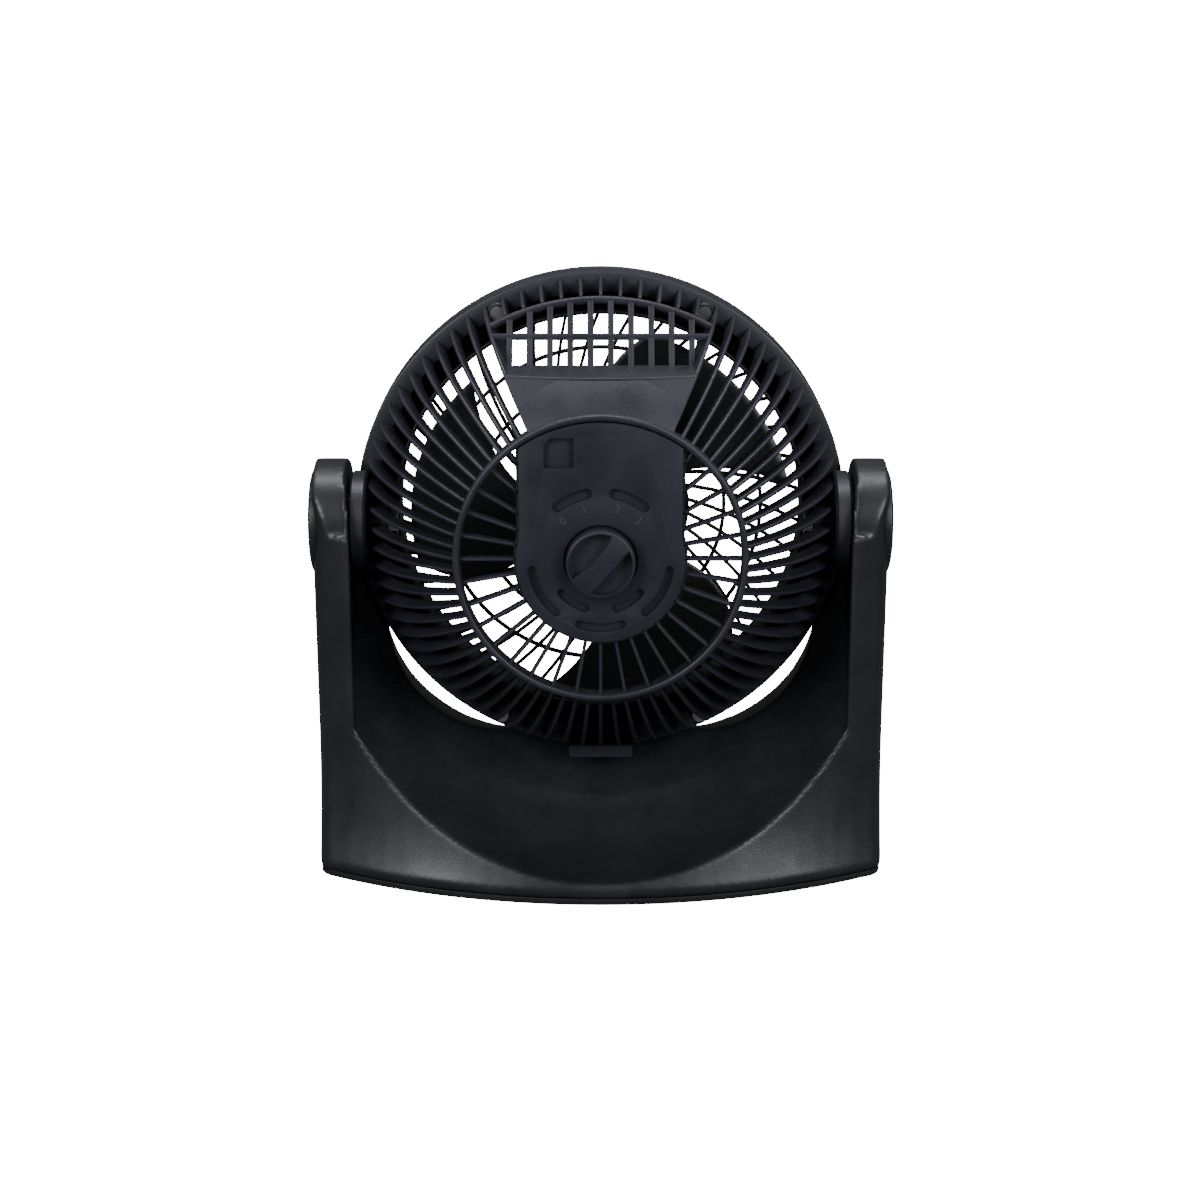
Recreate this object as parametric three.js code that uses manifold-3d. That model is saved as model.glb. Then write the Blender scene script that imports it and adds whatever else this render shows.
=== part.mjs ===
// Air circulator fan: a ribbed round head that tilts between the two arms of a
// moulded base. Millimetres. +Z is up, +Y is the way the air blows, and the
// ribbed back with the speed knob faces -Y. The origin is on the floor, under
// the middle of the object. Each mesh is one separate piece.
import * as THREE from 'three';
import { mergeVertices } from 'three/addons/utils/BufferGeometryUtils.js';
import Module from 'manifold-3d';

const wasm = await Module();
wasm.setup();

// ---------------------------------------------------------------- clearances
const SEAT_GAP = 0.3; // between two pieces that rest on each other
const RUN_GAP = 0.15; // radial gap of a shaft in its bearing
const THREAD_GAP = 0.05; // round a shaft or bolt that is pressed or screwed in
const TILT_GAP = 1.5; // between the head's rim and what it swings past

// ------------------------------------------------------------------ the head
const PIVOT_HEIGHT = 168; // tilt axis above the floor
const RIM_RADIUS = 118;
const RIM_WALL = 2.8;
const RIM_REAR = 9; // the rim band runs from here
const RIM_FRONT = 24; // to here, measured from the tilt axis
const RIM_FLANGE = 9.5; // how far the rim's rear edge turns inwards
const RIM_FLANGE_THICKNESS = 2.4;
const RIB_INSET = 2.2; // from the rim's face to the ribs' outer edges at its rear
const RIB_COUNT = 76;
const RIM_FACETS = RIB_COUNT / 2;
const RIB_THICKNESS = 1.7;
const RIB_DEPTH = 7;
const RIB_OUTER_STEPS = 4; // straight runs along a rib's outer edge
const RIB_INNER_STEPS = 2; // and along its inner edge
const RING_RADIUS = 66.8;
const RING_WIDTH = 3.2;
const RING_REAR = -73;
const RING_DEPTH = 10;
const RING_PROUD = 3; // how far the ring stands behind the ribs that meet it
const INNER_RIB_COUNT = 36;
const INNER_RIB_THICKNESS = 1.5;
const INNER_RIB_DEPTH = 5;

// handle window at the top of the bowl
const WINDOW_RIBS = 6; // rib spaces from the top to each side of the window
const PANEL_THICKNESS = 2.4;
const SILL_DROP = 37.4; // below the rim's outside
const SILL_THICKNESS = 2.2;
const SILL_REAR = -52; // at the window's sides; in the middle it bows out to the ball
const SILL_STEPS = 4; // straight runs of each half of that bow
const SILL_OVERRUN = 1.2; // its half width, as a share of the window's there
const SILL_FRONT = -27.5;
const STRIP_DROP = 16; // height of the strip under the sill
const STRIP_RUN = 10.7; // how far the strip leans back over that height
const ARCH_ANGLE = 70; // up the bowl to the arch over the window
const ARCH_SIZE = 3.6;
const WINDOW_WALL_DEPTH = 19;
const WINDOW_BAR_COUNT = 10;
const WINDOW_BAR_PITCH = 9.3;
const WINDOW_BAR = 2.9;
const CROSS_BAR_HEIGHT = 0.43; // share of the grid's height under its cross bar

// motor cup, cover and speed knob
const HUB_RADIUS = 38;
const HUB_SIDE_INSET = 1.5; // the cover's straight sides lie inside its round part by this
const CUP_WALL = 2;
const CUP_FLOOR = 2.4;
const CUP_DEPTH = 46;
const COVER_THICKNESS = 2.4;
const COVER_REAR = RING_REAR;
const SLOT_WIDTH = 4;
const VENT_RADIUS = 31.3;
const INNER_VENT_RADIUS = 23.1;
const DIAL_SLOT_RADIUS = 31.6;
const DIAL_SLOT_WIDTH = 5;
const DIAL_SLOT = [11.3, 37.8]; // degrees from the top, each side
const OUTER_VENT = [98, 140];
const INNER_VENT = [130, 163];
const BOTTOM_VENT = [162, 198];
const POCKET_SIZE = 13.4;
const POCKET_X = -18.7;
const POCKET_DROP = 17.3; // from the ring's outside down to the pocket's middle
const POCKET_CHAMFER = 3;
const KNOB_RADIUS = 15.7;
const KNOB_HOLE_GAP = 1.1;
const KNOB_HEIGHT = 7;
const KNOB_RIM = 1.5;
const KNOB_POCKET_DEPTH = 5;
const KNOB_GRIP_HALF = 5.2;
const KNOB_WAIST = 0.2; // the waisted side of the grip, as a share of its half width
const KNOB_BORE_DEPTH = 6;
const KNOB_ANGLE = -42; // where the grip points, from straight up
const SWITCH_WIDTH = 22;
const SWITCH_HEIGHT = 18;
const SWITCH_DEPTH = 12;
const SWITCH_SHAFT_RADIUS = 3;
const SWITCH_SHAFT_GAP = 1; // round the shaft where it passes the cup's floor

// motor
const MOTOR_SHAFT_RADIUS = 3;
const STATOR_RADIUS = 30;
const STATOR_LENGTH = 20;
const STATOR_REAR = -40;
const ROTOR_RADIUS = 14;
const AIR_GAP = 0.5;
const WINDING_RADIUS = 25;
const WINDING_WALL = 7;
const WINDING_LENGTH = 6;
const WINDING_SLOTS = 4;
const BEARING_RADIUS = 8;
const BEARING_LENGTH = 6;
const BRACKET_THICKNESS = 3;
const BRACKET_GAP = 8; // from the core to a bracket's plate
const BRACKET_WALL = 1.6;
const SHAFT_TAIL = 3; // how far the shaft reaches past the rear bracket
const MOTOR_SCREW_RADIUS = 2;
const MOTOR_SCREW_COUNT = 4;
const MOTOR_SCREW_CIRCLE = 27.2;
const MOTOR_SCREW_HEAD = 3.6;
const MOTOR_SCREW_HEAD_HEIGHT = 2.2;

// impeller
const BLADE_COUNT = 3;
const BLADE_TIP_GAP = 6; // between the blades and the bezel's opening
const BLADE_THICKNESS = 2;
const BLADE_REAR = -5.3;
const BLADE_FRONT = 14;
const BLADE_SWEEP = 66; // degrees of the circle that one blade covers
const BLADE_ROOT = 1.5; // how far a blade's root reaches into its hub
const BLADE_ROOT_SPREAD = 0.62; // share of the sweep that the root covers
const BLADE_LAG = 22; // degrees that the tip trails the root
const BLADE_PHASE = 25; // degrees from the top to the first blade's root
const BLADE_FLATTENING = 0.25; // share of the pitch that the tip loses
const BLADE_MIDDLE = 4.4; // where the pitch turns about, along the shaft
const BLADE_HUB_RADIUS = 20;
const BLADE_HUB_WALL = 2.2;
const BLADE_BORE_WALL = 4;
const BLADE_HUB_FACE = 4;
const BLADE_HUB_CHAMFER = 3;
const SPINNER_RADIUS = 8;
const SPINNER_LENGTH = 6;
const SPINNER_TAPER = 0.6; // of its radius at the tip, and of its length below the taper

// front bezel and grille
const BEZEL_FRONT = 36;
const BEZEL_WIDTH = 20.5; // from the head's outside to the opening
const BEZEL_ROUND = 8;
const BEZEL_FACE = 2; // left over the screw holes
const GRILLE_POST_GAP = 1.3; // between the grille's flange and the screw posts
const GRILLE_REAR = 29;
const GRILLE_DEPTH = 3;
const SPOKE_COUNT = 38;
const SPOKE_THICKNESS = 1.7;
const SPOKE_TURN = 38; // degrees that a spoke leans from the cap to the rim
const SPOKE_STEPS = 2;
const GRILLE_RING_PITCH = 18; // from the opening's edge inwards
const GRILLE_RING_COUNT = 3;
const GRILLE_RING_WIDTH = 1.8;
const SHROUD_WALL = 2;
const CAP_RADIUS = 24;
const CAP_DOME = 4;
const CAP_EDGE = 1.5;
const CAP_SEAT = 2; // how far the spokes run in under the cap

// screws that join bezel and rear housing
const POST_RADIUS = 4.8;
const POST_INSET = 7.4; // from the head's outside to a post's middle
const POST_ANGLE = 26;
const POST_REAR = 3;
const HOUSING_SCREW_RADIUS = 1.5;
const HOUSING_SCREW_HEAD = 3.4;
const HOUSING_SCREW_HEAD_HEIGHT = 2;
const HOUSING_SCREW_LENGTH = 27;

// bottom tab of the rim
const TAB_WIDTH = 31;
const TAB_REAR = -7;
const TAB_PROUD = 0.3; // how far it stands out of the rim
const TAB_THICKNESS = 6;

// cord inlet
const INLET_RADIUS = 4.5;
const INLET_HOLE = 3.2;
const INLET_FLANGE = 1.6; // past the neck that sits in the wall
const INLET_FLANGE_HEIGHT = 1.2;
const INLET_FLANGE_GAP = 1; // inside the wall
const INLET_LENGTH = 4; // outside the wall
const INLET_TAPER = 0.8;
const INLET_Y = -52;

// ------------------------------------------------------------------ the base
const ARM_THICKNESS = 16;
const ARM_DRAW_IN = 3.5; // inner faces draw in towards the back by this
const ARM_TAPER_START = -16;
const ARM_END_RADIUS = 30;
const BASE_REAR = -77;
const BASE_FRONT = 80;
const LIP_CURVE = 262; // plan radius of the front and rear lips
const CORNER_RADIUS = 12;
const COVER_BOTTOM = 1.6; // underside of the bottom cover, above the floor
const BOTTOM_COVER_THICKNESS = 3;
const BOTTOM_COVER_INSET = 0.6;
const SKIRT_TOP = 9;
const LIP_TOP = 12;
const LIP_CHAMFER = 1.4;
const SWEEP_TOP = 72; // where the arms' faces turn vertical
const REAR_SWEEP = 13.5;
const FRONT_SWEEP = 17;
const BASE_WALL = 3;
const RIDGE_REAR = 15;
const RIDGE_FRONT = 21;
const LIP_LEDGE_REAR = 7; // level run between the saddle and the rear edge
const LIP_LEDGE_FRONT = 6;
const CRADLE_INSET = 12.5; // the open channel is this much narrower than the rim
const CRADLE_CORNER = 64;
const CRADLE_FLOOR_INSET = 6; // the channel's floor would lie this much inside the rim
const FOOT_RADIUS = 8;
const FOOT_RECESS = 1.2;
const FOOT_SIDE_INSET = 24;
const FOOT_END_INSET = 39.5;
const BASE_SCREW_SIDE_INSET = 52;
const BASE_SCREW_END_INSET = 33.5;
const BASE_SCREW_RADIUS = 1.7;
const BASE_SCREW_HEAD = 3.6;
const BASE_SCREW_HEAD_HEIGHT = 1;
const BASE_SCREW_SINK = 0.1; // the heads lie this deep in the cover
const BASE_SCREW_LENGTH = 12;
const BASE_POST_RADIUS = 5;

// tilt pivot
const BOSS_RADIUS = 24;
const BOSS_THICKNESS = 8;
const BOSS_PROUD = 0.7; // how far a boss stands out of the rim
const BOSS_TUBE_RADIUS = 9.6;
const BOSS_TUBE_LENGTH = 9;
const PIVOT_BOLT_RADIUS = 4;
const PIVOT_BOLT_HEAD = 8;
const PIVOT_BOLT_HEAD_HEIGHT = 3.5;
const PIVOT_NUT_RADIUS = 7;
const PIVOT_NUT_LENGTH = 4;
const BUSH_WALL = 2.4;
const BUSH_FLANGE_RADIUS = 16;
const BUSH_FLANGE = 0.7;
const PIVOT_BLOCK_RADIUS = 28;
const BOLT_RECESS_RADIUS = 10.5;
const BOLT_SEAT_THICKNESS = 6; // of the arm's wall under the bolt's spring washer
const SPRING_THICKNESS = 1.4;
const PIVOT_CAP_RADIUS = 25;
const PIVOT_CAP_DOME = 2.5;
const PIVOT_CAP_RECESS = 3.2;
const PIVOT_CAP_EDGE = 0.4; // the straight edge that stands out of the arm

// ----------------------------------------------- sizes that follow from these
// the ribs' outer edges lie on a ball through the ring's face and the rim's edge
const RIB_END_RADIUS = RIM_RADIUS - RIB_INSET;
const RIB_START_Y = RING_REAR + RING_PROUD;
const BOWL_CENTRE = (RIB_END_RADIUS ** 2 + RIM_REAR ** 2 - RING_RADIUS ** 2 - RIB_START_Y ** 2)
  / (2 * (RIM_REAR - RIB_START_Y));
const BOWL_RADIUS = Math.hypot(RIB_END_RADIUS, RIM_REAR - BOWL_CENTRE);
const SILL_HEIGHT = RIM_RADIUS - SILL_DROP; // above the tilt axis
const HUB_HALF_WIDTH = HUB_RADIUS - HUB_SIDE_INSET;
const POCKET_Z = RING_RADIUS - POCKET_DROP;
const POST_CIRCLE = RIM_RADIUS - POST_INSET;
const BEZEL_INNER = RIM_RADIUS - BEZEL_WIDTH;
const GRILLE_RADIUS = POST_CIRCLE - POST_RADIUS - GRILLE_POST_GAP;
const SHROUD_RADIUS = BEZEL_INNER + SHROUD_WALL;
const SHROUD_REAR = RIM_REAR + RIM_FLANGE_THICKNESS + 2 * SEAT_GAP;
const BLADE_RADIUS = BEZEL_INNER - BLADE_TIP_GAP;
const BOSS_FACE = RIM_RADIUS + BOSS_PROUD;
const ARM_INNER = BOSS_FACE + BUSH_FLANGE + 2 * SEAT_GAP;
const ARM_OUTER = ARM_INNER + ARM_THICKNESS;
const ARM_REAR_INNER = ARM_INNER - ARM_DRAW_IN;
const BOLT_RECESS_FLOOR = ARM_INNER + BOLT_SEAT_THICKNESS;
const PIVOT_CAP_FACE = ARM_OUTER + PIVOT_CAP_DOME;
const RIDGE_RADIUS = RIM_RADIUS + TILT_GAP;
const SADDLE_DROP = PIVOT_HEIGHT - LIP_TOP - RIDGE_RADIUS; // from the ridge to the lip
const SADDLE_REAR_END = BASE_REAR + LIP_LEDGE_REAR;
const SADDLE_FRONT_END = BASE_FRONT - LIP_LEDGE_FRONT;
const CRADLE_HALF_WIDTH = RIM_RADIUS - CRADLE_INSET;
const CRADLE_DEPTH = RIM_RADIUS - CRADLE_FLOOR_INSET;
const TAB_DROP = RIM_RADIUS + TAB_PROUD;
const FOOT_X = ARM_OUTER - FOOT_SIDE_INSET;
const FOOT_REAR_Y = BASE_REAR + FOOT_END_INSET;
const FOOT_FRONT_Y = BASE_FRONT - FOOT_END_INSET;
const BASE_SCREW_X = ARM_OUTER - BASE_SCREW_SIDE_INSET;
const BASE_SCREW_REAR_Y = BASE_REAR + BASE_SCREW_END_INSET;
const BASE_SCREW_FRONT_Y = BASE_FRONT - BASE_SCREW_END_INSET;

// ----------------------------------------------------------------- materials
function plastic(colour, roughness) {
  return new THREE.MeshStandardMaterial({ color: colour, roughness, metalness: 0 });
}

function metal(colour, roughness) {
  return new THREE.MeshStandardMaterial({ color: colour, roughness, metalness: 1 });
}

const BLACK = plastic(0x1c1d20, 0.5);
const BASE_BLACK = plastic(0x1d1e21, 0.42);
const DARK = plastic(0x141518, 0.55);
const BLADE_BLACK = plastic(0x101114, 0.35);
const RUBBER = plastic(0x0e0e0f, 0.9);
const NYLON = plastic(0xcfcabb, 0.6);
const ACETAL = plastic(0x2a2a2c, 0.5);
const STEEL = metal(0x8d9094, 0.35);
const CORE = metal(0x5b5d60, 0.5);
const COPPER = metal(0xa8552c, 0.4);
const BRONZE = metal(0x9a7440, 0.45);
const ALUMINIUM = metal(0xb4b6b8, 0.4);

// ------------------------------------------------------------ solid geometry
const rad = THREE.MathUtils.degToRad;

function signedVolume(position, index) {
  const a = new THREE.Vector3();
  const b = new THREE.Vector3();
  const c = new THREE.Vector3();
  let volume = 0;
  for (let i = 0; i < index.count; i += 3) {
    a.fromBufferAttribute(position, index.getX(i));
    b.fromBufferAttribute(position, index.getX(i + 1));
    c.fromBufferAttribute(position, index.getX(i + 2));
    volume += a.dot(b.cross(c)) / 6;
  }
  return volume;
}

function solid(geometry) {
  const bare = geometry.clone();
  bare.deleteAttribute('normal');
  bare.deleteAttribute('uv');
  const merged = mergeVertices(bare, 1e-4);
  const triVerts = new Uint32Array(merged.index.array);
  if (signedVolume(merged.attributes.position, merged.index) < 0) {
    for (let i = 0; i < triVerts.length; i += 3) {
      [triVerts[i], triVerts[i + 1]] = [triVerts[i + 1], triVerts[i]];
    }
  }
  const vertProperties = new Float32Array(merged.attributes.position.array);
  return new wasm.Manifold(new wasm.Mesh({ numProp: 3, vertProperties, triVerts }));
}

function join(solids) {
  return solids.reduce((sum, piece) => sum.add(piece));
}

function cut(body, tools) {
  return tools.reduce((rest, tool) => rest.subtract(tool), body);
}

function geometryOf(body) {
  const mesh = body.getMesh();
  const geometry = new THREE.BufferGeometry();
  geometry.setAttribute('position', new THREE.BufferAttribute(mesh.vertProperties, 3));
  geometry.setIndex(new THREE.BufferAttribute(mesh.triVerts, 1));
  geometry.computeVertexNormals();
  return geometry;
}

// ring or disc about the Y axis from [radius, y] points
function lathe(points, segments, turn = 0) {
  const profile = points.map(([radius, y]) => new THREE.Vector2(radius, y));
  const geometry = new THREE.LatheGeometry(profile, segments);
  geometry.rotateY(turn);
  return solid(geometry);
}

function tube(outer, inner, y0, y1, segments, turn = 0) {
  const loop = [[inner, y0], [outer, y0], [outer, y1], [inner, y1], [inner, y0]];
  return lathe(loop, segments, turn);
}

function disc(radius, y0, y1, segments) {
  return lathe([[0, y0], [radius, y0], [radius, y1], [0, y1]], segments);
}

function box(x0, x1, y0, y1, z0, z1) {
  const geometry = new THREE.BoxGeometry(x1 - x0, y1 - y0, z1 - z0);
  geometry.translate((x0 + x1) / 2, (y0 + y1) / 2, (z0 + z1) / 2);
  return solid(geometry);
}

// an outline seen from the back, as wide as X and as high as Z, from y0 to y1
function slab(shape, y0, y1, curveSegments = 12) {
  const settings = { depth: y1 - y0, bevelEnabled: false, curveSegments };
  const geometry = new THREE.ExtrudeGeometry(shape, settings);
  geometry.rotateX(Math.PI / 2);
  geometry.translate(0, y1, 0);
  return solid(geometry);
}

// a thin blade in the half plane of [radius, y], turned by an angle from the top
function blade(points, thickness, angle) {
  const shape = new THREE.Shape(points.map(([radius, y]) => new THREE.Vector2(radius, y)));
  const settings = { depth: thickness, bevelEnabled: false };
  const geometry = new THREE.ExtrudeGeometry(shape, settings);
  geometry.translate(0, 0, -thickness / 2);
  geometry.rotateY(angle - Math.PI / 2);
  return solid(geometry);
}

// turns a solid of revolution about Y into one about X, on one side (+1 or -1)
function alongX(body, side) {
  const geometry = geometryOf(body);
  geometry.rotateZ(-side * Math.PI / 2);
  return solid(geometry);
}

function moved(body, x, y, z) {
  return body.translate([x, y, z]);
}

function mesh(name, body, material) {
  const piece = new THREE.Mesh(geometryOf(body), material);
  piece.name = name;
  return piece;
}

// ------------------------------------------------------- rear housing pieces
const RIB_STEP = (2 * Math.PI) / RIB_COUNT;
const WINDOW_ANGLE = WINDOW_RIBS * RIB_STEP;

function bowlPoint(radius, angle) {
  return [radius * Math.sin(angle), BOWL_CENTRE - radius * Math.cos(angle)];
}

function bowlArc(radius, start, end, steps) {
  const points = [];
  for (let i = 0; i <= steps; i += 1) {
    points.push(bowlPoint(radius, start + ((end - start) * i) / steps));
  }
  return points;
}

function angleAtRadius(bowl, radius) {
  return Math.asin(radius / bowl);
}

function angleAtY(bowl, y) {
  return Math.acos((BOWL_CENTRE - y) / bowl);
}

const RING_MIDDLE = RING_RADIUS - RING_WIDTH / 2;
const RIB_FRONT = RIM_REAR + RIM_FLANGE_THICKNESS / 2;
const ARCH = rad(ARCH_ANGLE);

// side view of a rib that starts on one radius and ends inside the rim's flange
function ribPoints(startRadius, depth) {
  const edge = (bowl, steps) => bowlArc(
    bowl, angleAtRadius(bowl, startRadius), angleAtY(bowl, RIB_FRONT), steps);
  const inner = edge(BOWL_RADIUS - depth, RIB_INNER_STEPS).reverse();
  return edge(BOWL_RADIUS, RIB_OUTER_STEPS).concat(inner);
}

// the ribs stop inside the rim's flange
function outerRibs() {
  const ribs = [];
  const full = ribPoints(RING_MIDDLE, RIB_DEPTH);
  const archRadius = bowlPoint(BOWL_RADIUS, ARCH)[0] - ARCH_SIZE / 2;
  const archY = bowlPoint(BOWL_RADIUS, ARCH)[1] + ARCH_SIZE / 2;
  const short = [[archRadius, archY], bowlPoint(BOWL_RADIUS, ARCH + 0.02)];
  short.push(bowlPoint(BOWL_RADIUS, angleAtY(BOWL_RADIUS, RIB_FRONT)));
  short.push([archRadius, RIB_FRONT]);
  for (let i = 0; i < RIB_COUNT; i += 1) {
    const fromTop = Math.min(i, RIB_COUNT - i);
    if (fromTop === WINDOW_RIBS) {
      continue;
    }
    const points = fromTop < WINDOW_RIBS ? short : full;
    ribs.push(blade(points, RIB_THICKNESS, i * RIB_STEP));
  }
  return ribs;
}

function windowWedge() {
  const reach = RIM_RADIUS * 2;
  const shape = new THREE.Shape();
  shape.moveTo(0, 0);
  shape.lineTo(reach * Math.sin(WINDOW_ANGLE), reach * Math.cos(WINDOW_ANGLE));
  shape.lineTo(-reach * Math.sin(WINDOW_ANGLE), reach * Math.cos(WINDOW_ANGLE));
  return slab(shape, RING_REAR, RIM_FRONT);
}

// the ball's profile from the ring to where the sill meets the window's sides
function panelArc(radius) {
  const top = SILL_HEIGHT / Math.cos(WINDOW_ANGLE);
  return bowlArc(radius, angleAtRadius(radius, RING_MIDDLE), angleAtRadius(radius, top), 3);
}

function windowPanel() {
  const outer = panelArc(BOWL_RADIUS);
  const shell = outer.concat(panelArc(BOWL_RADIUS - PANEL_THICKNESS).reverse());
  shell.push(outer[0]);
  const far = 2 * RIM_RADIUS;
  const below = box(-far, far, -far, far, 0, SILL_HEIGHT - SILL_THICKNESS / 2);
  return lathe(shell, RIM_FACETS).intersect(below);
}

// the sill's rear edge in plan
function sillEdge(shift) {
  const middle = BOWL_CENTRE - Math.sqrt(BOWL_RADIUS ** 2 - SILL_HEIGHT ** 2);
  const reach = SILL_HEIGHT * Math.tan(WINDOW_ANGLE);
  const points = [];
  for (let i = -SILL_STEPS; i <= SILL_STEPS; i += 1) {
    const share = (SILL_OVERRUN * i) / SILL_STEPS;
    const y = middle + (SILL_REAR - middle) * share * share + shift;
    points.push(new THREE.Vector2(share * reach, y));
  }
  return points;
}

function windowSill() {
  const rear = sillEdge(0);
  const far = rear[rear.length - 1].x;
  const front = [new THREE.Vector2(far, SILL_FRONT), new THREE.Vector2(-far, SILL_FRONT)];
  const settings = { depth: SILL_THICKNESS, bevelEnabled: false };
  const geometry = new THREE.ExtrudeGeometry(new THREE.Shape(rear.concat(front)), settings);
  geometry.translate(0, 0, SILL_HEIGHT - SILL_THICKNESS);
  return solid(geometry);
}

// the strip that the ball's dome rises out of leans back from the sill's edge
function windowStrip() {
  const band = sillEdge(0).concat(sillEdge(PANEL_THICKNESS).reverse());
  const settings = { depth: STRIP_DROP - SILL_THICKNESS / 2, bevelEnabled: false };
  const geometry = new THREE.ExtrudeGeometry(new THREE.Shape(band), settings);
  geometry.translate(0, 0, SILL_HEIGHT - STRIP_DROP);
  const place = geometry.attributes.position;
  for (let i = 0; i < place.count; i += 1) {
    const fall = (SILL_HEIGHT - place.getZ(i)) / STRIP_DROP;
    place.setY(i, place.getY(i) - STRIP_RUN * fall);
  }
  return solid(geometry);
}

function windowArch() {
  const [radius, y] = bowlPoint(BOWL_RADIUS, ARCH);
  return tube(radius, radius - ARCH_SIZE, y, y + ARCH_SIZE, RIM_FACETS);
}

function windowSides() {
  const points = ribPoints(RING_MIDDLE, WINDOW_WALL_DEPTH);
  const walls = [];
  for (const side of [-1, 1]) {
    walls.push(blade(points, RIB_THICKNESS, side * WINDOW_ANGLE));
  }
  return walls;
}

// everything inside the ball that the ribs follow
function bowlBody() {
  const arc = bowlArc(BOWL_RADIUS - SEAT_GAP, rad(30), ARCH, 6);
  const [front, rear] = [RIM_FRONT, arc[0][1]];
  return lathe([[0, rear], ...arc, [arc[arc.length - 1][0], front], [0, front]], RIM_FACETS);
}

// the grid leans from the sill's front edge to the arch
function windowGrid() {
  const [archRadius, archY] = bowlPoint(BOWL_RADIUS, ARCH);
  const low = [SILL_HEIGHT - SILL_THICKNESS / 2, SILL_FRONT - WINDOW_BAR / 2];
  const high = [archRadius, archY + ARCH_SIZE / 2];
  const dy = high[1] - low[1];
  const dz = high[0] - low[0];
  const length = Math.hypot(dy, dz);
  const lean = Math.atan2(dy, dz);
  const bars = [];
  const first = (-(WINDOW_BAR_COUNT - 1) * WINDOW_BAR_PITCH) / 2;
  for (let i = 0; i < WINDOW_BAR_COUNT; i += 1) {
    const geometry = new THREE.BoxGeometry(WINDOW_BAR, WINDOW_BAR, length);
    geometry.translate(0, 0, length / 2);
    geometry.rotateX(-lean);
    geometry.translate(first + i * WINDOW_BAR_PITCH, low[1], low[0]);
    bars.push(solid(geometry));
  }
  const cross = new THREE.BoxGeometry(RIM_RADIUS, WINDOW_BAR, WINDOW_BAR);
  cross.rotateX(-lean);
  cross.translate(0, low[1] + dy * CROSS_BAR_HEIGHT, low[0] + dz * CROSS_BAR_HEIGHT);
  bars.push(solid(cross));
  const reach = disc(archRadius - ARCH_SIZE / 2, RING_REAR, RIM_FRONT, RIM_FACETS);
  return join(bars).intersect(reach).intersect(bowlBody());
}

function coverOutline(shrink) {
  const radius = HUB_RADIUS - shrink;
  const half = HUB_HALF_WIDTH - shrink;
  const top = RING_RADIUS - RING_WIDTH - SEAT_GAP - shrink;
  const low = Math.acos(half / radius);
  const high = Math.acos(half / top);
  return new THREE.Shape([
    ...arcPoints(0, 0, radius, Math.PI - low, 2 * Math.PI + low, 20),
    ...arcPoints(0, 0, top, high, Math.PI - high, 8),
  ]);
}

const CUP_REAR = COVER_REAR + COVER_THICKNESS + SEAT_GAP;

function motorCup() {
  const floorFront = CUP_REAR + CUP_FLOOR;
  const cupOuter = HUB_RADIUS - CUP_WALL;
  const floorShape = coverOutline(-SEAT_GAP - 1);
  const ring = disc(RING_MIDDLE, CUP_REAR, floorFront, RIM_FACETS);
  const floor = slab(floorShape, CUP_REAR, floorFront).intersect(ring);
  const wall = tube(HUB_RADIUS, cupOuter, CUP_REAR, CUP_REAR + CUP_DEPTH, INNER_RIB_COUNT);
  return join([floor, wall]);
}

function motorPosts() {
  const rear = CUP_REAR + CUP_FLOOR / 2;
  const front = STATOR_REAR - BRACKET_GAP - BRACKET_THICKNESS - SEAT_GAP;
  const posts = [];
  for (const [x, z] of motorScrewPlaces()) {
    const post = tube(MOTOR_SCREW_HEAD, MOTOR_SCREW_RADIUS + RUN_GAP, rear, front, 8);
    posts.push(moved(post, x, 0, z));
  }
  return posts;
}

function motorScrewPlaces() {
  const places = [];
  for (let i = 0; i < MOTOR_SCREW_COUNT; i += 1) {
    const angle = ((2 * i + 1) * Math.PI) / MOTOR_SCREW_COUNT;
    places.push([MOTOR_SCREW_CIRCLE * Math.cos(angle), MOTOR_SCREW_CIRCLE * Math.sin(angle)]);
  }
  return places;
}

function innerRibs() {
  const ribs = [];
  const inner = HUB_RADIUS - CUP_WALL / 2;
  const front = CUP_REAR + INNER_RIB_DEPTH;
  const points = [
    [inner, CUP_REAR],
    [RING_MIDDLE, CUP_REAR],
    [RING_MIDDLE, front],
    [inner, front],
  ];
  for (let i = 0; i < INNER_RIB_COUNT; i += 1) {
    const angle = (i * 2 * Math.PI) / INNER_RIB_COUNT;
    if (RING_MIDDLE * Math.abs(Math.sin(angle)) < HUB_HALF_WIDTH && Math.cos(angle) > 0) {
      continue;
    }
    ribs.push(blade(points, INNER_RIB_THICKNESS, angle));
  }
  return ribs;
}

function postPlaces() {
  const places = [];
  for (const degrees of [-POST_ANGLE, POST_ANGLE, 180 - POST_ANGLE, POST_ANGLE - 180]) {
    const angle = rad(degrees);
    places.push([POST_CIRCLE * Math.sin(angle), POST_CIRCLE * Math.cos(angle)]);
  }
  return places;
}

function pivotBoss(side) {
  const back = BOSS_FACE - BOSS_THICKNESS;
  const end = back - BOSS_TUBE_LENGTH;
  const profile = [
    [0, end],
    [BOSS_TUBE_RADIUS, end],
    [BOSS_TUBE_RADIUS, back],
    [BOSS_RADIUS, back],
    [BOSS_RADIUS, BOSS_FACE],
    [0, BOSS_FACE],
  ];
  return alongX(lathe(profile, 16), side);
}

// room for the bolt, and for its nut behind the boss
function pivotBore(side) {
  const end = BOSS_FACE - BOSS_THICKNESS - BOSS_TUBE_LENGTH;
  const bolt = disc(PIVOT_BOLT_RADIUS + RUN_GAP, end - PIVOT_NUT_LENGTH, BOSS_FACE + 1, 12);
  return alongX(bolt, side);
}

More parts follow.
